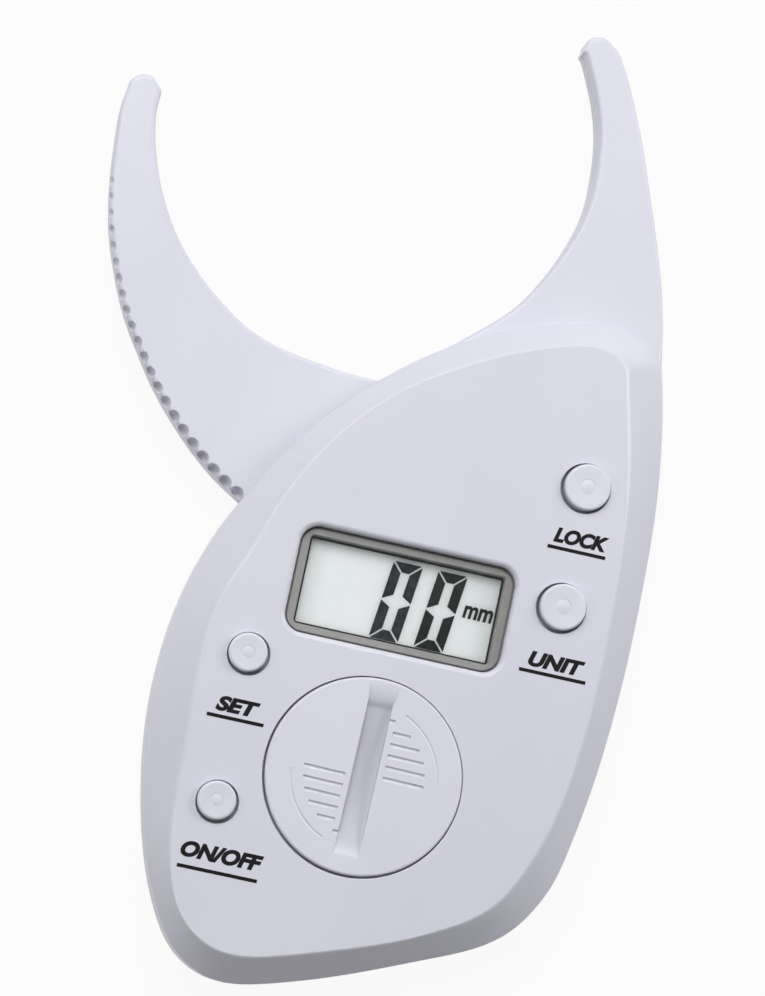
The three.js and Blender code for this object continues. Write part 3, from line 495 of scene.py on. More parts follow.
def finished(mesh, name, body, finish, nodes=(), crease=radians(32)):
    """Puts a piece in its place in metres, shades it, and lets it ride its body."""
    bmesh.ops.scale(mesh, vec=(MM, MM, MM), verts=mesh.verts)
    for face in mesh.faces:
        face.smooth = True
    for edge in mesh.edges:
        edge.smooth = len(edge.link_faces) == 2 and edge.calc_face_angle(0) < crease
    piece = as_object(mesh, name)
    piece.data.materials.append(finish)
    even = piece.modifiers.new("Even shading", "WEIGHTED_NORMAL")
    even.keep_sharp = True
    even.weight = 100
    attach(piece, body)
    if nodes:
        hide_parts(*nodes)


# Shells

def sweep():
    """The room that the swinging jaw needs in the shells."""
    line = inset(JAW_LINE, -SLOT_SIDE)
    inner = [point for point in line[:JAW_TURN] if point.length < SLOT_REACH]
    outer = [point for point in line[JAW_TURN:] if point.length < SLOT_REACH]
    outer = turned_by(outer, OPEN_ANGLE)
    start, end = (Vector((1, 0)).angle_signed(p) * -1 % (2 * pi) for p in (inner[-1], outer[0]))
    arc = [on_ring(SLOT_REACH, start + (end - start) * i / 24) for i in range(25)]
    back, front = JAW_BACK - RUN_GAP, JAW_FRONT + RUN_GAP
    hub = disc(HUB_RADIUS + SLOT_SIDE, back, front)
    return worked(plate([Vector((0, 0)), *inner, *arc, *outer], back, front), hub, "UNION")


def thinned(mesh):
    """The fixed jaw thins evenly towards its tip."""
    for vertex in mesh.verts:
        share = 1 - (1 - ARM_TIP_SHARE) * (vertex.co.y - ARM_ROOT) / (REACH - ARM_ROOT)
        vertex.co.z = ARM_MIDDLE + (vertex.co.z - ARM_MIDDLE) * share
    return mesh


def cavity():
    """The room inside both shells, with the screws' posts left standing in it."""
    room = loft([
        (body_line(0, WALL), FLOOR),
        (body_line(0, WALL), ARM_FRONT - SLOT_LIP),
        (body_line(1, WALL / 2), FACE_INSIDE),
    ])
    core = [point for point in inset(ARM_LINE, WALL) if point.length < CORE_REACH]
    room = worked(room, thinned(plate(core, ARM_BACK + WALL, ARM_FRONT - WALL)), "UNION")
    bore = SCREW_SHANK + SCREW_SEAT_GAP
    posts = [moved(tube(bore, POST_RADIUS, 0, FACE), at) for at, _, _ in SCREWS.values()]
    return worked(room, heap(posts))


def mouth(outline, back, roll):
    """A cutter whose opening rolls outward at the raised face."""
    sections = [(outline, back), (outline, FACE - roll)]
    sections += [(inset(outline, -spread), FACE - roll + rise) for spread, rise in quarter(roll)]
    return loft([*sections, (inset(outline, -roll), FACE + 1)])


def face_openings():
    """Cutters for the window, the keys' holes and the battery well's mouth."""
    back = FACE_INSIDE - 1
    openings = [moved(mouth(rounded_rectangle(*WINDOW, WINDOW_CORNER), back, WINDOW_ROLL), DISPLAY_AT)]
    for at, radius in KEYS.values():
        away = Vector((-1 if at[0] > 0 else 1, -1)).normalized() * KEY_HOLE_SHIFT
        hole = mouth(circle(radius + KEY_HOLE_GAP), back, MOUTH_EDGE)
        openings.append(moved(hole, Vector(at) + away))
    well_mouth = mouth(circle(WELL_MOUTH, 128), back, MOUTH_EDGE)
    openings.append(moved(well_mouth, Vector(COVER_AT) - WELL_MOUTH_SHIFT * Vector((0.7, 0.7))))
    return heap(openings)


def battery_well():
    """The ring under the face in which the cover's collar and lugs turn."""
    inside = WELL_MOUTH + 2 * WELL_MOUTH_SHIFT
    return moved(turned([
        (CELL_ROOM, WELL_BACK), (WELL_RADIUS, WELL_BACK), (WELL_RADIUS, FACE_INSIDE + OVERLAP),
        (inside, FACE_INSIDE + OVERLAP), (inside, LEDGE_FRONT),
        (COLLAR_RADIUS + RUN_GAP, LEDGE_FRONT), (COLLAR_RADIUS + RUN_GAP, LEDGE_BACK),
        (LUG_RADIUS + RUN_GAP, LEDGE_BACK), (LUG_RADIUS + RUN_GAP, COLLAR_BACK - RUN_GAP),
        (CELL_ROOM, COLLAR_BACK - RUN_GAP),
    ]), COVER_AT)


def front_shell(finish):
    start = SEAM + SEAM_GAP / 2
    rise = ARM_FRONT - BORDER_EDGE
    foot = BORDER_SHARES[0][0]
    roll = [(foot * spread, rise + BORDER_EDGE * up) for spread, up in quarter(1.0, 5)][:-1]
    border = [(share, ARM_FRONT + up * (FACE - ARM_FRONT)) for share, up in BORDER_SHARES]
    skin = loft([
        (body_line(0, SEAM_EDGE), start),
        (body_line(0), start + SEAM_EDGE),
        (body_line(0), rise),
        *((body_line(share), level) for share, level in roll + border),
    ])
    arm = thinned(loft([
        (inset(ARM_LINE, SEAM_EDGE), start),
        (ARM_LINE, start + SEAM_EDGE),
        (ARM_LINE, ARM_FRONT - ARM_EDGE),
        *((inset(ARM_LINE, away), ARM_FRONT - ARM_EDGE + up) for away, up in quarter(ARM_EDGE)),
    ]))
    shell = worked(worked(skin, arm, "UNION"), cavity())
    shell = worked(worked(shell, face_openings()), sweep())
    finished(heap([shell, battery_well()]), "front_shell", "housing", finish, ["front_housing"])


def screw_recess(at, back, end):
    """A cutter for a screw's head and shank, with a chamfer at the back."""
    head, shank = SCREW_HEAD + SCREW_GAP, SCREW_SHANK + SCREW_GAP
    return moved(turned([
        (0, back - 1), (head + SCREW_LEAD, back - 1), (head + SCREW_LEAD, back), (head, back + SCREW_LEAD),
        (head, back + SCREW_RECESS), (shank, back + SCREW_RECESS), (shank, end + 1), (0, end + 1),
    ], 48), at)


def rear_shell(finish):
    end = SEAM - SEAM_GAP / 2
    turns = [i * pi / 16 for i in range(9)]
    skin = loft([
        *((body_line(0, BACK_EDGE * (1 - sin(t))), BACK_EDGE * (1 - cos(t))) for t in turns),
        (body_line(0), end - SEAM_EDGE),
        (body_line(0, SEAM_EDGE), end),
    ])
    arm_foot = reversed(quarter(ARM_EDGE))
    arm = thinned(loft([
        *((inset(ARM_LINE, away), ARM_BACK + ARM_EDGE - up) for away, up in arm_foot),
        (ARM_LINE, ARM_BACK + ARM_EDGE),
        (ARM_LINE, end - SEAM_EDGE),
        (inset(ARM_LINE, SEAM_EDGE), end),
    ]))
    shell = worked(worked(skin, arm, "UNION"), cavity())
    recesses = [screw_recess(at, back, end) for at, back, _ in SCREWS.values()]
    shell = worked(worked(shell, heap(recesses)), sweep())
    boss = tube(BOSS_BORE, BOSS_RADIUS, FLOOR - OVERLAP, BOSS_FRONT)
    thrust = tube(*THRUST_RING, FLOOR - OVERLAP, JAW_BACK - RUN_GAP)
    finished(heap([shell, boss, thrust]), "rear_shell", "housing", finish, ["rear_housing"])


# Swinging jaw

def flutes():
    """Cutters down the jaw's outer edge, each biting less deep than the last towards its tip."""
    edge = JAW_LINE[:JAW_TURN - 1:-1]
    last = sum((b - a).length for a, b in zip(edge, edge[1:])) - FLUTE_END
    bowl = [(0.85 * FLUTE_RADIUS * sin(t), FLUTE_RADIUS * (1 - cos(t)) - FLUTE_HEIGHT)
            for t in (i * pi / 12 for i in range(7))]
    wall = 0.97 * FLUTE_RADIUS
    lip = [(wall + spread / 2, up - FLUTE_LIP) for spread, up in quarter(FLUTE_LIP)]
    profile = [*bowl, (wall, -FLUTE_LIP), *lip, (lip[-1][0], 1), (0, 1)]
    cutters = []
    wanted, along = FLUTE_START, 0.0
    for a, b in zip(edge, edge[1:]):
        tangent = (b - a).normalized()
        while wanted < min(last, along + (b - a).length):
            share = (wanted - FLUTE_START) / (last - FLUTE_START)
            size = 1 - FLUTE_SHRINK * share
            bite = FLUTE_DEPTH * (1 - FLUTE_FADE * share)
            outward = Vector((-tangent.y, tangent.x)) * (FLUTE_RADIUS * size - bite)
            at = a + tangent * (wanted - along) + outward
            cutters.append(moved(turned([(r * size, JAW_FRONT + z * size) for r, z in profile], 32), at))
            wanted += FLUTE_PITCH
        along += (b - a).length
    return cutters


def jaw(finish):
    """The blade, its hub and the tail that carries the sensor, swung open."""
    blade = rounded_plate(JAW_LINE, JAW_BACK, JAW_FRONT, JAW_EDGE)
    hub = tube(BOSS_RADIUS + RUN_GAP, HUB_RADIUS, JAW_BACK, JAW_FRONT, 128)
    middle = -(pi + OPEN_ANGLE) / 2
    fan = sector(BOSS_RADIUS + 1, TAIL_RADIUS, middle - TAIL_HALF_ANGLE, middle + TAIL_HALF_ANGLE)
    tail = plate(fan, JAW_BACK, JAW_BACK + TAIL_THICKNESS)
    cutters = flutes()
    for every_other in (cutters[::2], cutters[1::2]):
        blade = worked(blade, heap(every_other))
    whole = moved(heap([blade, hub, tail]), (0, 0), 0, OPEN_ANGLE)
    finished(whole, "swinging_jaw", "jaw", finish, ["moving_jaw"])


# Keys

def key_cap(name, finish):
    """A key with a shallow dish and a small ring in its middle, on its flange and stem."""
    at, radius = KEYS[name]
    flange = radius + KEY_FLANGE_WIDTH
    rounding = [(radius - away, KEY_TOP - KEY_EDGE + up) for away, up in quarter(KEY_EDGE)]
    rim, ring = radius - KEY_EDGE, radius * KEY_RING_SHARE
    steps = [rim + (ring - rim) * i / 6 for i in range(1, 7)]
    dish = [(r, KEY_TOP - KEY_DISH_DEPTH * (1 - (r / rim) ** 2)) for r in steps]
    middle = dish[-1][1]
    groove = middle - KEY_RING_DEPTH
    dish += [(ring - 0.06, groove), (ring - 0.22, groove), (ring - 0.36, middle)]
    cap = turned([
        (0, KEY_FOOT), (KEY_STEM_RADIUS, KEY_FOOT), (KEY_STEM_RADIUS, KEY_FLANGE_BACK),
        (flange, KEY_FLANGE_BACK), (flange, KEY_FLANGE_FRONT), (radius, KEY_FLANGE_FRONT),
        (radius, KEY_TOP - KEY_EDGE), *rounding, *dish, (0, middle),
    ])
    finished(moved(cap, at), f"{name}_cap", f"{name}_key", finish, [f"{name}_button"])


# Battery cover

def coin_slot():
    """A cutter whose floor is an arc, deepest above the middle and steeper at its upper end."""
    low, high = -COIN_SLOT_LENGTH / 2, COIN_SLOT_LENGTH / 2
    half = COIN_SLOT_SHIFT - low
    radius = (half ** 2 + COIN_SLOT_DEPTH ** 2) / (2 * COIN_SLOT_DEPTH)
    first, last = low - 0.3, high - COIN_SLOT_END
    mesh = bmesh.new()
    outline = []
    for i in range(49):
        y = first + (last - first) * i / 48
        sag = radius - sqrt(radius ** 2 - (y - COIN_SLOT_SHIFT) ** 2)
        outline.append(mesh.verts.new((0, y, FACE - COIN_SLOT_DEPTH + sag)))
    outline += [mesh.verts.new((0, y, FACE + 1)) for y in (high + COIN_SLOT_END, first)]
    for a, b in zip(outline, outline[1:] + outline[:1]):
        mesh.edges.new((a, b))
    made = bmesh.ops.contextual_create(mesh, geom=mesh.edges[:])["faces"]
    grown = bmesh.ops.extrude_face_region(mesh, geom=made)["geom"]
    far = [item for item in grown if isinstance(item, bmesh.types.BMVert)]
    bmesh.ops.translate(mesh, vec=(COIN_SLOT_WIDTH, 0, 0), verts=far)
    bmesh.ops.translate(mesh, vec=(-COIN_SLOT_WIDTH / 2, 0, 0), verts=mesh.verts)
    bmesh.ops.recalc_face_normals(mesh, faces=mesh.faces)
    return moved(mesh, (0, 0), 0, COIN_SLOT_TILT)


def arc_groove(start, end):
    """A cutter for the thin line round a field of grooves."""
    mesh = bmesh.new()
    tool = bmesh.ops.create_circle(mesh, cap_ends=True, segments=12, radius=0.3)
    place = Matrix.Rotation(start, 4, "Z") @ Matrix.Translation((GRIP_ARC, 0, FACE + 0.17))
    bmesh.ops.transform(mesh, matrix=place @ Matrix.Rotation(pi / 2, 4, "X"), verts=tool["verts"])
    everything = mesh.faces[:] + mesh.edges[:] + mesh.verts[:]
    bmesh.ops.spin(mesh, geom=everything, axis=(0, 0, 1), cent=(0, 0, 0), angle=end - start, steps=32,
                   use_duplicate=False)
    bmesh.ops.recalc_face_normals(mesh, faces=mesh.faces)
    return mesh


def finger_fields():
    """Cutters for the two fields of straight grooves, each inside its arc."""
    cutters = []
    for turn in (0, pi):
        for i in range(GRIPS):
            y = GRIP_START + i * GRIP_PITCH
            ends = [(x, y, FACE + 0.05) for x in (GRIP_INNER, sqrt(GRIP_OUTER ** 2 - y ** 2))]
            cutters.append(moved(rod(*ends, GRIP_RADIUS), (0, 0), 0, COIN_SLOT_TILT + turn))
        cutters.append(moved(arc_groove(radians(6), radians(68)), (0, 0), 0, COIN_SLOT_TILT + turn))
    return heap(cutters)


def battery_cover(finish):
    rounding = [(COVER_RADIUS - away, FACE - COVER_EDGE + up) for away, up in quarter(COVER_EDGE)]
    cap = turned([
        (0, COVER_PAD_BACK), (COVER_PAD_RADIUS, COVER_PAD_BACK), (COVER_PAD_RADIUS, COVER_BACK),
        (CELL_ROOM, COVER_BACK), (CELL_ROOM, COLLAR_BACK), (COLLAR_RADIUS, COLLAR_BACK),
        (COLLAR_RADIUS, COVER_BACK), (COVER_RADIUS, COVER_BACK), (COVER_RADIUS, FACE - COVER_EDGE),
        *rounding, (0, FACE),
    ], 128)
    cap = worked(worked(cap, coin_slot()), finger_fields())
    lug = sector(COLLAR_RADIUS - 0.4, LUG_RADIUS, -LUG_HALF_ANGLE, LUG_HALF_ANGLE)
    lugs = [plate(turned_by(lug, turn), COLLAR_BACK, LUG_FRONT) for turn in (0, pi)]
    whole = moved(heap([cap, *lugs]), COVER_AT)
    finished(whole, "cover_cap", "battery_cover_body", finish, ["battery_cover"])


# Display

def display_frame(finish):
    """The grey holder round the display, with its pocket for the glass and two legs."""
    width, height = (size + 2 * HOLDER_FLANGE for size in WINDOW)
    outline = rounded_rectangle(width, height, WINDOW_CORNER + HOLDER_FLANGE)
    flange = plate(outline, HOLDER_BACK, HOLDER_FLANGE_FRONT)
    front = rounded_plate(LENS_LINE, HOLDER_FLANGE_FRONT - 1, HOLDER_FRONT, HOLDER_EDGE, 3, front_only=True)
    leg_x = (width - HOLDER_WALL) / 2
    legs = [moved(box(HOLDER_WALL, HOLDER_LEG_LENGTH, HOLDER_LEG_BACK, HOLDER_BACK + 1), (x, HOLDER_LEG_Y))
            for x in (-leg_x, leg_x)]
    body = worked(worked(flange, front, "UNION"), heap(legs), "UNION")
    lip_back = HOLDER_FRONT - HOLDER_EDGE
    view = loft([
        (VIEW_LINE, HOLDER_BACK - 1),
        (VIEW_LINE, HOLDER_POCKET_FRONT),
        (inset(VIEW_LINE, -VIEW_SLOPE), lip_back),
        *((inset(VIEW_LINE, -VIEW_SLOPE - away), lip_back + up) for away, up in quarter(HOLDER_EDGE, 3)),
        (inset(VIEW_LINE, -VIEW_SLOPE - HOLDER_EDGE), HOLDER_FRONT + 1),
    ])
    pocket = box(width - 2 * HOLDER_WALL, height - 2 * HOLDER_WALL, HOLDER_BACK - 3, HOLDER_POCKET_FRONT)
    body = moved(worked(body, worked(view, pocket, "UNION")), DISPLAY_AT)
    finished(body, "display_frame", "housing", finish, ["display_holder"])


def display_gap_shade(ink):
    """A dark ring painted on the display's glass as the shade of the gap between the frame and the glass."""
    outer, inner = inset(VIEW_LINE, -SHADE_RING_UNDER), inset(VIEW_LINE, SHADE_RING_WIDTH)
    ring = worked(plate(outer, 0, INK), plate(inner, -1, 1))
    finished(moved(ring, DISPLAY_AT, GLASS_FRONT), "display_gap_shade", "housing", ink)


def lens(finish):
    body = rounded_plate(LENS_LINE, LENS_BACK, LENS_BACK + LENS_THICKNESS, LENS_EDGE, 3, front_only=True)
    finished(moved(body, DISPLAY_AT), "window_lens", "housing", finish, ["display_lens"])


# Signs

def digit_zero(at):
    """A seven-segment nought from its six lit segments."""
    a, b, t, g = DIGIT_WIDTH / 2, DIGIT_HEIGHT / 2, STROKE, STROKE_GAP
    bars = []
    for end in (1, -1):
        bars.append([(-a + g, end * b), (a - g, end * b),
                     (a - t - g, end * (b - t)), (-a + t + g, end * (b - t))])
        for side in (1, -1):
            bars.append([(side * a, end * (b - g)), (side * (a - t), end * (b - t - g)),
                         (side * (a - t), end * (t / 2 + g)), (side * a, end * g / 2)])
    lean = Matrix(((1, sin(DIGIT_SLANT)), (0, 1)))
    return heap(moved(plate([lean @ Vector(point) for point in bar], 0, INK), at, GLASS_FRONT) for bar in bars)


def lettering(words, width, height, at, level, lean=0.25, weight=0.055):
    """Flat raised letters, fitted to a width and a height and centred on a place."""
    text = bpy.data.curves.new("words", "FONT")
    text.body = words
    text.shear = lean
    text.offset = weight
    text.extrude = 0.01
    thing = bpy.data.objects.new("words", text)
    bpy.context.scene.collection.objects.link(thing)
    flat = bpy.data.meshes.new_from_object(thing.evaluated_get(bpy.context.evaluated_depsgraph_get()))
    bpy.data.objects.remove(thing)
    bpy.data.curves.remove(text)
    mesh = bmesh.new()
    mesh.from_mesh(flat)
    bpy.data.meshes.remove(flat)
    bmesh.ops.remove_doubles(mesh, verts=mesh.verts, dist=1e-5)
    low = [min(v.co[axis] for v in mesh.verts) for axis in range(3)]
    high = [max(v.co[axis] for v in mesh.verts) for axis in range(3)]
    size = [top - bottom for top, bottom in zip(high, low)]
    scale = (width / size[0], height / size[1], INK / size[2])
    middle = Vector(((low[0] + high[0]) / 2, (low[1] + high[1]) / 2, low[2]))
    bmesh.ops.translate(mesh, vec=-middle, verts=mesh.verts)
    bmesh.ops.scale(mesh, vec=scale, verts=mesh.verts)
    bmesh.ops.recalc_face_normals(mesh, faces=mesh.faces)
    return moved(mesh, at, level)


def labels(ink):
    """The words under the keys, each over its line."""
    for name, (words, at, width, height, line_at, line_width) in LABELS.items():
        line = moved(box(line_width, LINE_HEIGHT, 0, INK), line_at, FACE)
        finished(heap([lettering(words, width, height, at, FACE), line]), name, "housing", ink)


def reading(dark, faint):
    """Two noughts and the unit on the display, the left one fainter."""
    x, y = DISPLAY_AT
    for name, left, ink in (("digit_tens", DIGIT_X[0], faint), ("digit_ones", DIGIT_X[1], dark)):
        finished(digit_zero((x + left, y + DIGIT_Y)), name, "housing", ink)
    unit = lettering("mm", 4.9, 2.1, (13.0, -19.75), GLASS_FRONT, 0.12, 0.03)
    finished(unit, "reading_unit", "housing", dark)


# Screws

def screw(name, finish):
    """A cross-recessed screw with a domed head, pointing to the front."""
    at, back, length = SCREWS[name]
    seat = back + SCREW_RECESS - SCREW_SEAT_GAP
    top = seat - SCREW_HEAD_HEIGHT
    body = turned([
        (0, top), (0.45 * SCREW_HEAD, top + 0.02), (0.75 * SCREW_HEAD, top + 0.14),
        (0.92 * SCREW_HEAD, top + 0.36), (SCREW_HEAD, top + 0.7), (SCREW_HEAD, seat), (SCREW_SHANK, seat),
        (SCREW_SHANK, seat + length - 1.1), (0.44, seat + length), (0, seat + length),
    ], 48)
    sizes = ((DRIVE_LENGTH, DRIVE_WIDTH), (DRIVE_WIDTH, DRIVE_LENGTH))
    bars = [box(*size, top - 1, top + DRIVE_DEPTH) for size in sizes]
    body = worked(body, worked(*bars, "UNION"))
    finished(moved(body, at), f"{name}_turned", "housing", finish, [name])


# Finishes

class Field:
    """A shader value that takes part in Python sums."""

    def __init__(self, finish, socket):
        self.finish = finish
        self.socket = socket

    def __add__(self, other):
        return self.finish.maths("ADD", self, other)

    __radd__ = __add__

    def __sub__(self, other):
        return self.finish.maths("SUBTRACT", self, other)

    def __rsub__(self, other):
        return self.finish.maths("SUBTRACT", other, self)

    def __mul__(self, other):
        return self.finish.maths("MULTIPLY", self, other)

    __rmul__ = __mul__

    def above(self, low, high):
        """0 below low, 1 above high, smooth between."""
        return self.finish.node("ShaderNodeMapRange", {"interpolation_type": "SMOOTHSTEP"},
                                {"Value": self, "From Min": low, "From Max": high})


class Finish:
    """The nodes of a material or a world under construction."""

    def __init__(self, owner):
        self.owner = owner
        owner.use_nodes = True
        self.tree = owner.node_tree
        self.tree.nodes.clear()

    def node(self, kind, settings, sockets, output=0):
        """Any node, from its type, its settings, and its sockets' values or links."""
        made = self.tree.nodes.new(kind)
        for name, value in settings.items():
            setattr(made, name, value)
        for name, value in sockets.items():
            if isinstance(value, Field):
                self.tree.links.new(value.socket, made.inputs[name])
            else:
                made.inputs[name].default_value = value
        return Field(self, made.outputs[output])

    def maths(self, operation, *values):
        return self.node("ShaderNodeMath", {"operation": operation}, dict(enumerate(values)))

    def along(self, axis):
        """A point's place along an axis of the object, in metres."""
        where = self.node("ShaderNodeTexCoord", {}, {}, "Object")
        return self.node("ShaderNodeSeparateXYZ", {}, {"Vector": where}, axis)

    def place(self, stretch=(1, 1, 1), turn=(0, 0, 0)):
        """Where a point is on the object, in metres, with a stretch and a turn for the pattern."""
        where = self.node("ShaderNodeTexCoord", {}, {}, "Object")
        return self.node("ShaderNodeMapping", {}, {"Vector": where, "Scale": stretch, "Rotation": turn})

    def noise(self, scale, detail=2.0, stretch=(1, 1, 1), turn=(0, 0, 0), roughness=0.5):
        return self.node("ShaderNodeTexNoise", {}, {"Vector": self.place(stretch, turn), "Scale": scale,
                                                   "Detail": detail, "Roughness": roughness})

    def blend(self, share, first, second):
        return self.node("ShaderNodeMix", {"data_type": "RGBA"}, {0: share, 6: first, 7: second}, 2)

    def bump(self, height, strength, depth, before=None):
        sockets = {"Height": height, "Strength": strength, "Distance": depth}
        if before:
            sockets["Normal"] = before
        return self.node("ShaderNodeBump", {}, sockets)

    def seen_by(self, *rays):
        """1 for rays of any of these kinds."""
        share = self.node("ShaderNodeLightPath", {}, {}, rays[0])
        for ray in rays[1:]:
            share = self.maths("MAXIMUM", share, self.node("ShaderNodeLightPath", {}, {}, ray))
        return share

    def surface(self, **sockets):
        """Ends the material in a principled surface and gives it back."""
        named = {name.replace("_", " "): value for name, value in sockets.items()}
        return self.end(self.node("ShaderNodeBsdfPrincipled", {}, named))

    def end(self, shader, kind="ShaderNodeOutputMaterial"):
        out = self.tree.nodes.new(kind)
        self.tree.links.new(shader.socket, out.inputs["Surface"])
        return self.owner


def material(name):
    return Finish(bpy.data.materials.new(name))


def rgb(red, green, blue):
    """A colour given as it looks on the screen, 0 to 255."""
    linear = [v / 255 / 12.92 if v <= 10 else ((v / 255 + 0.055) / 1.055) ** 2.4 for v in (red, green, blue)]
    return (*linear, 1)


def moulded(name, light, shade, gloss=0.32, grain=0.05, recess_shade=None):
    """Moulded plastic: spark-eroded grain, flow marks, faint handling wear, and painted shade below a level
    that darkens recesses.
    """
    finish = material(name)
    flow = finish.noise(38, 3, (1, 0.55, 1)).above(0.3, 0.7)
    handling = finish.noise(160, 4, roughness=0.65).above(0.52, 0.74)
    scuffs = finish.noise(420, 3, (1, 0.06, 1), (0, 0, 0.6)).above(0.66, 0.74)
    colour = finish.blend(flow * 0.8 + handling * 0.2, light, shade)
    if recess_shade:
        # Painted shade: below the deep level the colour turns darker, shading the coin slot's floor, the
        # grooves and the sides.
        deep, flush, shade_colour = recess_shade
        colour = finish.blend(finish.along("Z").above(deep * MM, flush * MM), shade_colour, colour)
    roughness = gloss + flow * 0.04 + handling * 0.07 + scuffs * 0.12
    pores = finish.bump(finish.noise(3800, 2), grain, 0.00004)
    normal = finish.bump(finish.noise(90, 2) - scuffs * 0.15, 0.05, 0.0002, pores)
    return finish.surface(Base_Color=colour, Roughness=roughness, Normal=normal, Specular_IOR_Level=0.45)


def clear_lens():
    """Polished clear plastic with faint smudges and wiping marks."""
    finish = material("lens_acrylic")
    smudge = finish.noise(70, 4, roughness=0.6).above(0.45, 0.75)
    wipe = finish.noise(900, 2, (1, 0.05, 1), (0, 0, 0.9)).above(0.68, 0.75)
    roughness = 0.06 + smudge * 0.1 + wipe * 0.1
    colour = finish.blend(smudge, rgb(228, 236, 234), rgb(218, 228, 226))
    return finish.surface(Base_Color=colour, Roughness=roughness, Alpha=0.012 + smudge * 0.012,
                          Normal=finish.bump(finish.noise(60, 2), 0.04, 0.0002), IOR=1.49)


def display_glass():
    """Pale reflective display: light spreads a little inside the glass."""
    finish = material("display_glass")
    cloud = finish.noise(45, 3).above(0.3, 0.7)
    grain = finish.noise(2600, 2)
    colour = finish.blend(cloud * 0.7 + grain * 0.3, rgb(240, 245, 246), rgb(234, 241, 241))
    return finish.surface(Base_Color=colour, Roughness=0.35 + grain * 0.1,
                          Normal=finish.bump(grain, 0.03, 0.00003), Specular_IOR_Level=0.3,
                          Subsurface_Weight=0.8, Subsurface_Radius=(1, 1, 1), Subsurface_Scale=0.003)


def display_ink(name, dark, light):
    """A display's dark segments, and the dark ring of painted shade round its glass, slightly uneven."""
    finish = material(name)
    patches = finish.noise(900, 3).above(0.35, 0.7)
    colour = finish.blend(patches, dark, light)
    return finish.surface(Base_Color=colour, Roughness=0.4 + patches * 0.15,
                          Normal=finish.bump(patches, 0.02, 0.00002), Specular_IOR_Level=0.1)


def printed_ink():
    """Pad-printed black with thin spots."""
    finish = material("printed_ink")
    patches = finish.noise(1400, 4, roughness=0.6).above(0.5, 0.8)
    colour = finish.blend(patches, rgb(10, 10, 13), rgb(26, 26, 31))
    return finish.surface(Base_Color=colour, Roughness=0.6 + patches * 0.2, Specular_IOR_Level=0.25,
                          Normal=finish.bump(finish.noise(3000, 2), 0.08, 0.00003))


def circuit_board():
    """Green solder mask over a pattern of tracks."""
    finish = material("board_mask")
    tracks = finish.node("ShaderNodeTexBrick", {"offset": 0.37, "squash": 1.6, "squash_frequency": 3},
                         {"Vector": finish.place(turn=(0, 0, 0.79)), "Scale": 190.0, "Mortar Size": 0.09,
                          "Color1": (0, 0, 0, 1), "Color2": (0, 0, 0, 1), "Mortar": (1, 1, 1, 1)})
    weave = finish.noise(1800, 2)
    colour = finish.blend(tracks, rgb(24, 92, 52), rgb(46, 124, 70))
    return finish.surface(Base_Color=colour, Roughness=0.38 + weave * 0.15,
                          Normal=finish.bump(tracks + weave * 0.2, 0.2, 0.00005))


def copper_pattern():
    """Plated bars of the capacitive sensor, fanned about the pivot."""
    finish = material("sensor_copper")
    angle = finish.maths("ARCTAN2", finish.along("Y"), finish.along("X"))
    bars = finish.maths("SINE", angle * 90).above(-0.2, 0.2)
    tarnish = finish.noise(300, 3)
    plated = finish.blend(tarnish, rgb(206, 150, 84), rgb(176, 118, 62))
    colour = finish.blend(bars, rgb(30, 96, 58), plated)
    return finish.surface(Base_Color=colour, Metallic=bars, Roughness=0.3 + tarnish * 0.2,
                          Normal=finish.bump(bars, 0.3, 0.00003))


def plated_steel():
    """Bright plated steel, brushed and a little stained."""
    finish = material("plated_steel")
    brushed = finish.noise(700, 3, (1, 8, 1))
    stains = finish.noise(240, 4, roughness=0.65).above(0.5, 0.75)
    colour = finish.blend(brushed * 0.6 + stains * 0.4, rgb(196, 198, 202), rgb(158, 160, 166))
    return finish.surface(Base_Color=colour, Metallic=1.0, Roughness=0.24 + brushed * 0.14 + stains * 0.1,
                          Normal=finish.bump(brushed, 0.06, 0.00003))


def mottled(name, light, dark, gloss, scale=900):
    """Small plain parts: mottled colour, uneven gloss and a fine grain."""
    finish = material(name)
    mottle = finish.noise(scale, 3).above(0.3, 0.7)
    return finish.surface(Base_Color=finish.blend(mottle, light, dark), Roughness=gloss + mottle * 0.12,
                          Normal=finish.bump(finish.noise(scale * 3, 2), 0.1, 0.00004))


def dress_inside(steel, grey):
    """Materials for the CAD nodes that scene pieces don't replace."""
    black = mottled("black_plastic", rgb(30, 30, 32), rgb(22, 22, 24), 0.42)
    finishes = {
        "lcd_panel": display_glass(),
        "main_board": circuit_board(),
        "sensor_rotor": copper_pattern(),
        "chip_blob": mottled("resin", rgb(26, 26, 28), rgb(34, 33, 34), 0.3, 500),
        "capacitor": mottled("tan_ceramic", rgb(188, 158, 110), rgb(168, 138, 92), 0.45),
        "lcd_connector_strip": mottled("elastomer", rgb(112, 117, 128), rgb(96, 101, 112), 0.75),
        **{f"{name}_switch": black for name in KEYS},
        **{f"{name}_plunger": grey for name in KEYS},
        **{f"board_screw_{i}": steel for i in (1, 2, 3)},
        **{name: steel for name in ("coin_cell", "crystal", "wave_washer", "pivot_washer", "pivot_screw",
                                    "battery_spring", "battery_clip")},
    }
    for node, finish in finishes.items():
        slots = frame["nodes"][node].data.materials
        slots.clear()
        slots.append(finish)


# Studio

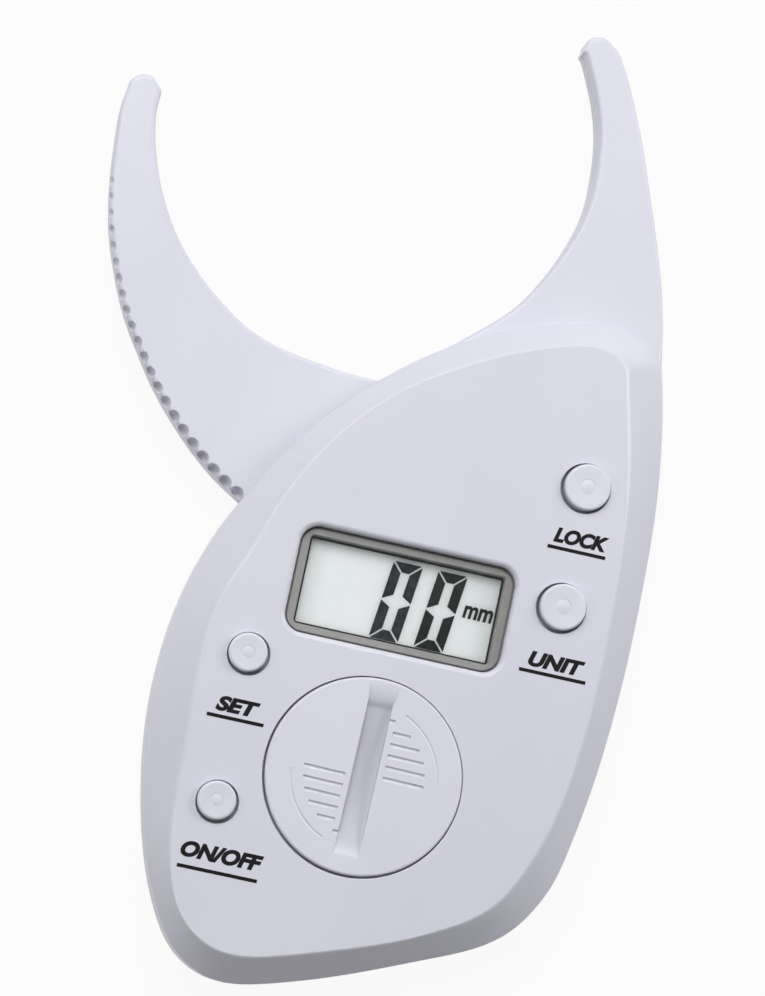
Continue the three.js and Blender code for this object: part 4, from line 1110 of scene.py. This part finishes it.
def floor():
    """Pale paper that keeps the object's shadow and looks white to the camera."""
    paper = material("studio_floor")
    grain = paper.noise(500, 2)
    seen = paper.seen_by("Is Camera Ray", "Is Glossy Ray", "Is Transmission Ray")
    colour = paper.blend(grain, (0.7, 0.7, 0.7, 1), (0.73, 0.73, 0.73, 1))
    matt = paper.node("ShaderNodeBsdfDiffuse", {}, {"Color": colour, "Roughness": 0.5})
    white = paper.node("ShaderNodeEmission", {}, {"Color": (1, 1, 1, 1), "Strength": 1.0})
    finish = paper.end(paper.node("ShaderNodeMixShader", {}, {0: seen * 0.93, 1: matt, 2: white}))
    mesh = bmesh.new()
    bmesh.ops.create_grid(mesh, x_segments=1, y_segments=1, size=3.0)
    bmesh.ops.translate(mesh, vec=(0, 0, -0.0002), verts=mesh.verts)
    sheet = as_object(mesh, "studio_floor")
    sheet.data.materials.append(finish)


def world():
    """Dim on the object, white behind it."""
    sky = Finish(bpy.data.worlds.new("studio"))
    seen = sky.seen_by("Is Camera Ray", "Is Transmission Ray")
    dim = sky.node("ShaderNodeBackground", {}, {"Color": (0.97, 0.98, 1.0, 1), "Strength": AMBIENT})
    white = sky.node("ShaderNodeBackground", {}, {"Color": (1, 1, 1, 1), "Strength": 1.0})
    mixed = sky.node("ShaderNodeMixShader", {}, {0: seen, 1: dim, 2: white})
    bpy.context.scene.world = sky.end(mixed, "ShaderNodeOutputWorld")


def lamp(name, direction, distance, size, power):
    """A soft rectangular lamp that faces the origin, in metres."""
    light = bpy.data.lights.new(name, "AREA")
    light.shape = "RECTANGLE"
    light.size, light.size_y = size
    light.energy = power
    thing = bpy.data.objects.new(name, light)
    thing.location = Vector(direction).normalized() * distance
    thing.rotation_euler = thing.location.to_track_quat("Z", "Y").to_euler()
    bpy.context.scene.collection.objects.link(thing)


def lamps():
    lamp("key", (-0.273, 0.536, 0.799), 0.9, (0.7, 0.7), 6.6)
    lamp("right", (0.772, 0.393, 0.5), 0.9, (0.45, 0.3), 3.2)
    lamp("right_strip", (0.72, 0.12, 0.7), 0.9, (0.5, 0.05), 0.3)
    lamp("left_strip", (-0.85, -0.08, 0.55), 0.9, (0.6, 0.1), 1.35)
    lamp("front", (-0.1, 0.1, 1.0), 1.2, (0.5, 0.5), 0.9)


def camera():
    """Stands where the photograph was taken from."""
    lens_data = bpy.data.cameras.new("photo_view")
    lens_data.sensor_fit = "VERTICAL"
    lens_data.angle = 2 * atan(VIEW_HEIGHT / 2 / CAMERA_DISTANCE)
    thing = bpy.data.objects.new("photo_view", lens_data)
    back = CAMERA_AWAY.normalized()
    right = Vector((-sin(CAMERA_ROLL), cos(CAMERA_ROLL), 0)).cross(back).normalized()
    turn = Matrix((right, back.cross(right), back)).transposed().to_4x4()
    thing.matrix_world = Matrix.Translation((CAMERA_TARGET + back * CAMERA_DISTANCE) * MM) @ turn
    bpy.context.scene.collection.objects.link(thing)
    bpy.context.scene.camera = thing


def main():
    shell = moulded("shell_plastic", rgb(219, 219, 230), rgb(214, 214, 227))
    cap = moulded("cap_plastic", rgb(222, 223, 233), rgb(217, 218, 229), 0.34, 0.03)
    # The lid gets painted shade below 16.4 mm, so its coin slot and grooves are darkened in colour.
    lid = moulded("lid_plastic", rgb(222, 222, 233), rgb(217, 217, 229), 0.4,
                  recess_shade=(16.4, FACE, rgb(200, 200, 211)))
    grey = moulded("frame_plastic", rgb(150, 149, 147), rgb(140, 139, 137), 0.48, 0.08)
    steel = plated_steel()
    front_shell(shell)
    rear_shell(shell)
    jaw(shell)
    battery_cover(lid)
    for name in KEYS:
        key_cap(name, cap)
    display_frame(grey)
    # Painted shade: a dark ring on the glass where the gap under the frame lies in shade.
    display_gap_shade(display_ink("display_gap_shade", rgb(22, 22, 24), rgb(36, 36, 38)))
    lens(clear_lens())
    labels(printed_ink())
    reading(display_ink("display_dark", rgb(8, 8, 10), rgb(18, 18, 22)),
            display_ink("display_faint", rgb(24, 24, 28), rgb(44, 46, 50)))
    for name in SCREWS:
        screw(name, steel)
    dress_inside(steel, grey)
    floor()
    world()
    lamps()
    camera()
    bpy.context.scene.view_settings.view_transform = "Standard"


main()
